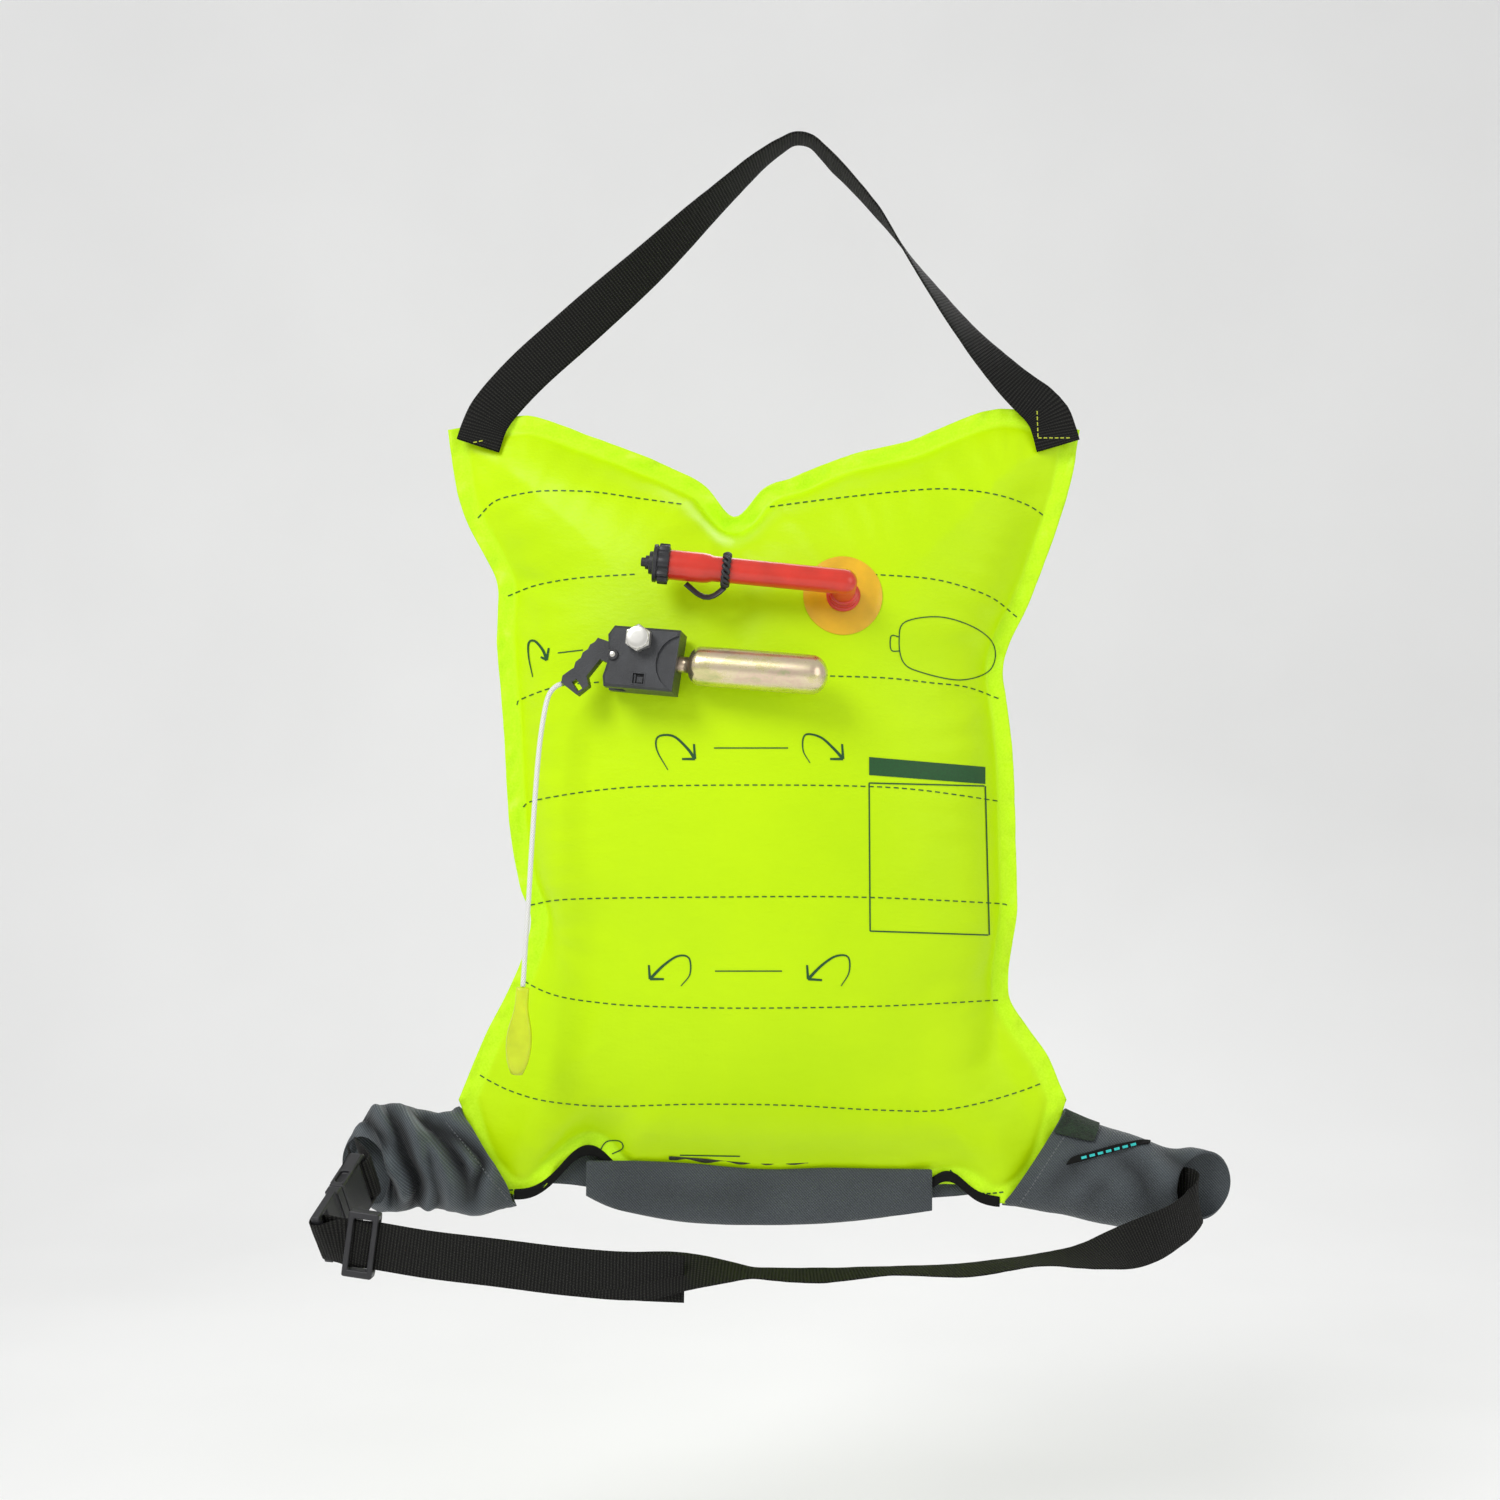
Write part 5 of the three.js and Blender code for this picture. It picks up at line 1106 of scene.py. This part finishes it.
marks = Print(cell_tree)
for line in FOLD_LINES:
    marks.dashes(line)
for line in SEAM_LINES:
    marks.dashes(line, 4.2, 6.4, 1.4)
for tail, head in ARROWS:
    marks.arrow(tail, head)
for line in RULES:
    marks.stroke(line, 1.2)
marks.stroke(BOTTLE, 1.1, closed=True)
marks.stroke(BOTTLE_NECK, 1.1)
marks.block(BAR)
for ends in FRAME_SIDES:
    marks.stroke(ends, 1.4)
marks.make("cell_marks", green_ink)


def make_patch():
    """The round patch welded to the cell round the tube's foot."""
    low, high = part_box("oral_patch")
    middle = (low + high) / 2
    wide = (high.x - low.x) / 2
    around = 64
    # each ring's share of the patch's radius, and how far it lies off the cell in mm
    rings = [(0.35, 0.95), (0.5, 0.95), (0.65, 0.95), (0.8, 0.95), (0.93, 0.95)]
    rings += [(0.985, 0.75), (1.0, 0.75), (1.01, 0.1)]
    points = []
    for share, lift in rings:
        for angle in np.arange(around) * 2 * math.pi / around:
            reach = wide * share
            place, normal = ray_at(middle.x + reach * math.cos(angle), middle.z + reach * math.sin(angle))
            points.append(place + normal * lift * MM)
    patch = put("valve_patch", points, ring_faces(len(rings), around, capped=False), orange_film)
    fix_normals(patch)
    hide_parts("oral_patch")


make_patch()

# Straps

strap, strap_width, strap_length = webbing("neck_webbing", "neck_strap", webbing_black, seed=1.3)
belt, belt_width, belt_length = webbing("waist_webbing", "waist_belt", webbing_black, seed=4.1)
short_web, web_width, web_length = webbing("buckle_webbing", "buckle_web", webbing_black, seed=7.7, short=6)
webbing("tube_tether", "cap_tether", black_plastic, 6, wave=0.1, turn=48)

# Strap stitching, each line from photo pixel to photo pixel
STRAP_STITCHES = [[(1038, 438), (1075, 438)], [(1037, 411), (1038, 438)], [(457, 446), (486, 440)]]
sewn = Print(tree_of(strap), 0.15)
for line in STRAP_STITCHES:
    sewn.dashes(line, 3.6, 5.6, 1.1)
sewn.make("strap_stitches", yellow_thread)

# Buckle and slide

bevelled("buckle_plug", black_plastic, 1.2)
bevelled("buckle_receiver", black_plastic, 1.6)
bevelled("strap_slider", black_plastic, 1.1)

# Mouth tube, its cap and tie


# The ridged foot: mm back from its end, and mm wider than the tube
FOOT_ROWS = [(6.4, -0.3), (5.8, 0.6), (4.8, 0.7), (4.3, 0.1), (3.6, 0.1), (3.1, 1.3), (2.0, 1.5)]
FOOT_ROWS += [(1.5, 1.3), (1.1, 2.2), (0, 2.6)]


def make_mouth_tube():
    points = frame_points("oral_tube")
    low_x = points[:, 0].min()
    mouth = points[points[:, 0] < low_x + 2.5 * MM].mean(0)
    run = points[(points[:, 0] > -46 * MM) & (points[:, 0] < -4 * MM)].mean(0) - mouth
    run /= np.linalg.norm(run)
    off = points - mouth
    along = off @ run
    away = np.linalg.norm(off - along[:, None] * run, axis=1) / MM
    wide = away[(along > 3 * MM) & (along < 18 * MM)].max()
    slim = away[(along > 36 * MM) & (along < 70 * MM)].max()
    low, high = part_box("oral_patch")
    foot, out = ray_at((low.x + high.x) / 2, (low.z + high.z) / 2)
    length = (foot.x - mouth[0]) / run[0] / MM
    rows = [(0, wide - 0.8), (0.5, wide - 0.1), (1.2, wide), (23, wide), (26, wide - 0.35), (28.5, slim)]
    rows += [(t, slim) for t in np.linspace(32, length, 14)]
    rows += [
        (length + slim * math.sin(a), slim * math.cos(a)) for a in np.linspace(0.15, math.pi / 2, 10)
    ]
    made, faces = lathe(mouth, run, rows)
    elbow = mouth + run * length * MM
    down = np.array(foot + out * 0.6 * MM) - elbow
    deep = np.linalg.norm(down) / MM
    stalk = [(0, slim - 0.3)] + [(deep - back, slim + wider) for back, wider in FOOT_ROWS]
    more, more_faces = lathe(elbow, down, stalk, first=len(made))
    tube = put("mouth_tube", made + more, faces + more_faces, red_tube)
    fix_normals(tube)
    tube.data.set_sharp_from_angle(angle=math.radians(50))
    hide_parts("oral_tube")
    return mouth, run, slim


tube_mouth, tube_run, tube_radius = make_mouth_tube()


def cap_lugs(row, angle):
    """Coarse lugs on the cap's rim."""
    return 0.07 * (1 if math.cos(11 * angle) > 0 else -1) if 2 <= row <= 5 else 0


cap_points = frame_points("tube_cap")
cap_along = (cap_points - tube_mouth) @ -tube_run
cap_start = tube_mouth - tube_run * cap_along.min()
cap_long = (cap_along.max() - cap_along.min()) / MM
cap_low, cap_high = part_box("tube_cap")
cap_wide = (cap_high.z - cap_low.z) / MM / 2
# Shares of the cap's length and half width, from the tube outwards
CAP_ROWS = [(0, 0.8), (0.03, 0.9), (0.04, 0.96), (0.06, 0.97), (0.36, 0.97), (0.39, 0.94), (0.4, 0.9)]
CAP_ROWS += [(0.43, 0.9), (0.44, 0.97), (0.55, 0.97), (0.57, 0.93), (0.575, 0.6), (0.7, 0.58)]
CAP_ROWS += [(0.715, 0.55), (0.72, 0.36), (0.84, 0.35), (0.85, 0.24), (0.98, 0.23), (1.0, 0.17)]
cap_rows = [(share * cap_long, wide * cap_wide) for share, wide in CAP_ROWS]
turned("dust_cap", "tube_cap", cap_start, -tube_run, cap_rows, black_plastic, lobes=cap_lugs)


def make_tie():
    """Two rubber strands twisted round the tube."""
    middle = axis_of("tube_tie")[0]
    middle = tube_mouth + tube_run * ((middle - tube_mouth) @ tube_run)
    across = np.cross(tube_run, (0, 0, 1.0))
    across /= np.linalg.norm(across)
    up = np.cross(tube_run, across)
    for name, phase in (("tie_strand_1", 0), ("tie_strand_2", math.pi)):
        line = []
        for angle in np.linspace(0, 2 * math.pi * 1.01, 150):
            twist = 8 * angle + phase
            far = (tube_radius + 1.25 + 0.75 * math.cos(twist)) * MM
            around = across * math.cos(angle) + up * math.sin(angle)
            line.append(middle + around * far + tube_run * math.sin(twist) * 1.5 * MM)
        strand = tube_mesh(name, line, 1.05 * MM, black_plastic, 10)
        if not phase:
            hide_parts("tube_tie")


make_tie()

# Inflator. Places on its face are in mm right of and above the lever's pin.

bevelled("inflator_body", head_plastic, 0.7)
bevelled("inflator_stem", steel, 0.3)
bevelled("inflator_nut", steel, 0.35)
bevelled("lever_pin", black_plastic, 0.25)
bevelled("inflator_lever", head_plastic, 0.5)
rounded("gas_cylinder", "co2_cylinder", zinc, 2, 60, 0.3)

pin_middle, face_out, pin_half = axis_of("lever_pin")
face_out = -face_out if face_out[1] > 0 else face_out
face_right = axis_of("co2_cylinder")[1]
face_right = -face_right if face_right[0] < 0 else face_right
face_right = face_right - face_out * (face_right @ face_out)
face_right /= np.linalg.norm(face_right)
face_up = np.cross(face_right, face_out)
face_up = -face_up if face_up[2] < 0 else face_up
RIVET_PROUD = 1.5  # the pin's head before the face
face_origin = pin_middle + face_out * (pin_half - RIVET_PROUD * MM)


def on_face(right, up, out):
    return face_origin + (face_right * right + face_up * up + face_out * out) * MM


def boxes(name, blocks, material):
    """Small blocks on the inflator's face, each from one corner to the other as right, up and out."""
    points = []
    faces = []
    for low, high in blocks:
        n = len(points)
        points += [on_face(*corner) for corner in itertools.product(*zip(low, high))]
        quads = [(0, 1, 3, 2), (4, 6, 7, 5), (0, 4, 5, 1), (2, 3, 7, 6), (0, 2, 6, 4), (1, 5, 7, 3)]
        faces += [tuple(n + i for i in quad) for quad in quads]
    piece = put(name, points, faces, material, smooth=False, body=frame_body("inflator_body"))
    fix_normals(piece)


# The face's window: a floor coloured near black as painted shade in the hollow, with a catch in it, and a low
# rim round it
boxes("window_floor", [((12.0, -14.4, -1.9), (17.8, -9.2, -1.7))], hole_painted_shade)
catch = [((14.2, -13.9, -1.7), (17.2, -10.9, -0.4)), ((12.3, -14.2, -1.7), (13.3, -9.4, -0.9))]
boxes("window_catch", catch, head_plastic)
rim = [((11.3, -9.1, -0.2), (18.5, -8.4, 0.25)), ((11.3, -15.2, -0.2), (18.5, -14.5, 0.25))]
rim += [((11.3, -14.5, -0.2), (11.9, -9.1, 0.25)), ((17.9, -14.5, -0.2), (18.5, -9.1, 0.25))]
boxes("window_rim", rim, head_plastic)

RIVET_ROWS = [(1.2, 1.5), (1.62, 1.45), (1.75, 1.1), (1.78, 0.01)]
turned("rivet_face", "lever_pin", on_face(0, 0, 0), face_out, RIVET_ROWS, steel, replaces=False)
nut_points = frame_points("inflator_nut")
nut_top = ((nut_points - face_origin) @ face_out).max() / MM
nut_middle = nut_points.mean(0)
nut_base = nut_middle + face_out * ((nut_top - 1.6) * MM - (nut_middle - face_origin) @ face_out)
NUT_ROWS = [(0, 6.1), (1.1, 6.1), (1.5, 5.8), (1.7, 5.2), (1.78, 3), (1.8, 0.01)]
turned("nut_face", "inflator_nut", nut_base, face_out, NUT_ROWS, steel, replaces=False)

# Cloth

DEEPEST_FOLD = 4.8  # mm, the fold depth that gets the full painted shade


def from_middle(points):
    """Gives the directions away from a sleeve's middle line, the same for its outer and inner walls."""
    steps = np.linspace(points[:, 0].min(), points[:, 0].max(), 15)
    places, low, high = [], [], []
    for start, end in zip(steps[:-1], steps[1:]):
        ring = points[(points[:, 0] >= start) & (points[:, 0] <= end)]
        if len(ring) > 8:
            places.append((start + end) / 2)
            low.append(ring.min(axis=0))
            high.append(ring.max(axis=0))
    low, high = np.array(low), np.array(high)
    away = np.zeros_like(points)
    for axis in (1, 2):
        middle = np.interp(points[:, 0], places, (low + high)[:, axis] / 2)
        half = np.interp(points[:, 0], places, (high - low)[:, axis] / 2)
        away[:, axis] = (points[:, axis] - middle) / half**2
    return away / np.maximum(np.linalg.norm(away, axis=1), 1e-9)[:, None]


def to_front(points):
    return np.tile((0.0, -1.0, 0.0), (len(points), 1))


def folded(piece, folds, seed, ruck, away_of=from_middle):
    """Presses folds into a piece's front. Each is a line of photo pixels, its depth and half width in mm. It
    also stores in the fold attribute how much painted shade or painted highlight each point gets.
    """
    shade = piece.data.attributes.new("fold", "FLOAT", "POINT")

    def change(points, normals):
        seen = pixels_of(points)
        away = away_of(points)
        crease = np.zeros(len(points))
        front = smoothstep(-away[:, 1], -0.1, 0.5)
        push = fbm(points, 55, seed) * ruck * MM + fbm(points, 160, seed + 1) * ruck * 0.3 * MM
        for line, deep, wide in folds:
            path = smooth_line(np.array(line, float), 3)
            gap, where = line_distance(seen, path)
            ends = lengths_along(path)[-1]
            share = where / ends
            fade = smoothstep(share, -0.05, 0.25) * (1 - smoothstep(share, 0.75, 1.05))
            reach = wide * MM / PIXEL
            valley = np.exp(-((gap / reach) ** 1.4))
            ridge = np.exp(-(((gap - 2.3 * reach) / (1.2 * reach)) ** 2))
            part = deep * (0.3 + 0.7 * fade) * front
            push += (0.5 * ridge - valley) * part * MM
            # painted shade in each valley, less a painted highlight on its ridges
            crease += (valley - 0.35 * ridge) * part / DEEPEST_FOLD
        shade.data.foreach_set("value", np.clip(crease, -1, 1))
        return away * push[:, None]

    moved(piece, change)


def pulled(piece, spot, to, reach):
    """Draws a piece's points near one photo pixel towards another."""
    across, down = (np.array(to, float) - spot) * PIXEL

    def change(points, normals):
        near = np.exp(-((np.linalg.norm(pixels_of(points) - spot, axis=1) / reach) ** 2))
        return near[:, None] * np.array((across, 0.0, -down))

    moved(piece, change)


# Each fold's line, its depth and its half width
LEFT_FOLDS = [
    ([(362, 1108), (372, 1124), (382, 1138), (388, 1154)], 5.0, 3.4),
    ([(386, 1106), (398, 1130), (406, 1156), (417, 1181), (417, 1198), (408, 1216)], 8.0, 3.8),
    ([(408, 1108), (434, 1128), (451, 1150), (463, 1171), (467, 1198)], 6.0, 3.6),
    ([(444, 1126), (470, 1147), (482, 1163), (478, 1181), (474, 1200)], 5.0, 3.0),
    ([(428, 1146), (432, 1170), (438, 1194), (436, 1214)], 3.5, 2.8),
    ([(378, 1172), (391, 1184), (398, 1206)], 4.5, 3.0),
]
RIGHT_FOLDS = [
    ([(1118, 1158), (1140, 1176), (1152, 1204)], 1.8, 5),
    ([(1160, 1148), (1182, 1164), (1198, 1172)], 1.8, 4),
    ([(1050, 1190), (1066, 1174), (1084, 1168)], 1.1, 4.5),
    ([(1088, 1206), (1100, 1190), (1110, 1184)], 1.0, 4),
]
left_sleeve = rounded("left_sleeve", "left_wing", pouch_grey, 3, 60, 0.2)
folded(left_sleeve, LEFT_FOLDS, 21, 0.7)
pulled(left_sleeve, (524, 1204), (516, 1203), 18)
right_sleeve = rounded("right_sleeve", "right_wing", pouch_grey, 3, 60, 0.2)
folded(right_sleeve, RIGHT_FOLDS, 24, 0.35)
panel = rounded("pouch_panel", "center_panel", pouch_grey, 3, 60, 0.2)
folded(panel, [([(640, 1190), (700, 1198), (760, 1196)], 0.5, 6)], 27, 0.35, to_front)
back = rounded("pouch_back", "back_band", pouch_grey, 2, 60, 0.2)
rounded("edge_binding", "bottom_binding", webbing_black, 2, 60, 0.2)
rounded("pile_strip", "hook_strip", hook_pile, 3, 60, 0.2)
rounded("pile_tab", "hook_tab", tab_pile_shaded_green, 3, 60, 0.2)
label = rounded("sewn_strip", "wing_label", webbing_black, 2, 60, 0.2)


sewn_cloth = [(left_sleeve, "left_wing"), (right_sleeve, "right_wing")]
sewn_cloth += [(panel, "center_panel"), (back, "back_band")]

# Hem stitches and the strip's plain dashes
RIGHT_HEM = [(1066, 1134), (1049, 1160), (1032, 1186), (1020, 1203)]
LEFT_HEM = [(446, 1122), (467, 1148), (490, 1178), (510, 1202)]
for name, sleeve, line in (("right_hem", right_sleeve, RIGHT_HEM), ("left_hem", left_sleeve, LEFT_HEM)):
    hem = Print(tree_of(sleeve), 0.12)
    hem.dashes(line, 2.6, 4.2, 1.0)
    hem.make(name, grey_thread)
strip_marks = Print(tree_of(label), 0.12)
LABEL_FROM, LABEL_TO = np.array((1074.0, 1160.0)), np.array((1147.0, 1141.0))
label_line = [LABEL_FROM + (LABEL_TO - LABEL_FROM) * share for share in (0.1, 0.92)]
strip_marks.dashes(label_line, 5.5, 8.5, 2.6)
strip_marks.make("label_marks", teal_ink)


def make_stage():
    """A pale floor that curves up into a backdrop, below and behind the hung pack."""
    low = -0.86
    far = 1.9
    bend = 0.8
    line = [(-4.0, low)]
    for angle in np.linspace(0, math.pi / 2, 17):
        line.append((far - bend + bend * math.sin(angle), low + bend - bend * math.cos(angle)))
    line.append((far, 4.0))
    points = [(x, y, z) for y, z in line for x in (-5.0, 5.0)]
    faces = [(2 * i, 2 * i + 1, 2 * i + 3, 2 * i + 2) for i in range(len(line) - 1)]
    floor = put("floor", points, faces, floor_material(), body=None)


make_stage()

WORLD_LIGHT = 0.56
world = bpy.data.worlds.new("studio")
world.use_nodes = True
world.node_tree.nodes["Background"].inputs[0].default_value = (1, 1, 1, 1)
world.node_tree.nodes["Background"].inputs[1].default_value = WORLD_LIGHT
bpy.context.scene.world = world
bpy.context.scene.view_settings.view_transform = "Standard"
MIDDLE = (0, 0, -0.35)
add_light("key", (-1.1, -1.5, 1.0), MIDDLE, 1.0, 27)
add_light("fill", (1.5, -1.2, 0.1), MIDDLE, 1.4, 6)
add_light("rim", (0.4, 1.0, 0.6), MIDDLE, 1.0, 7)
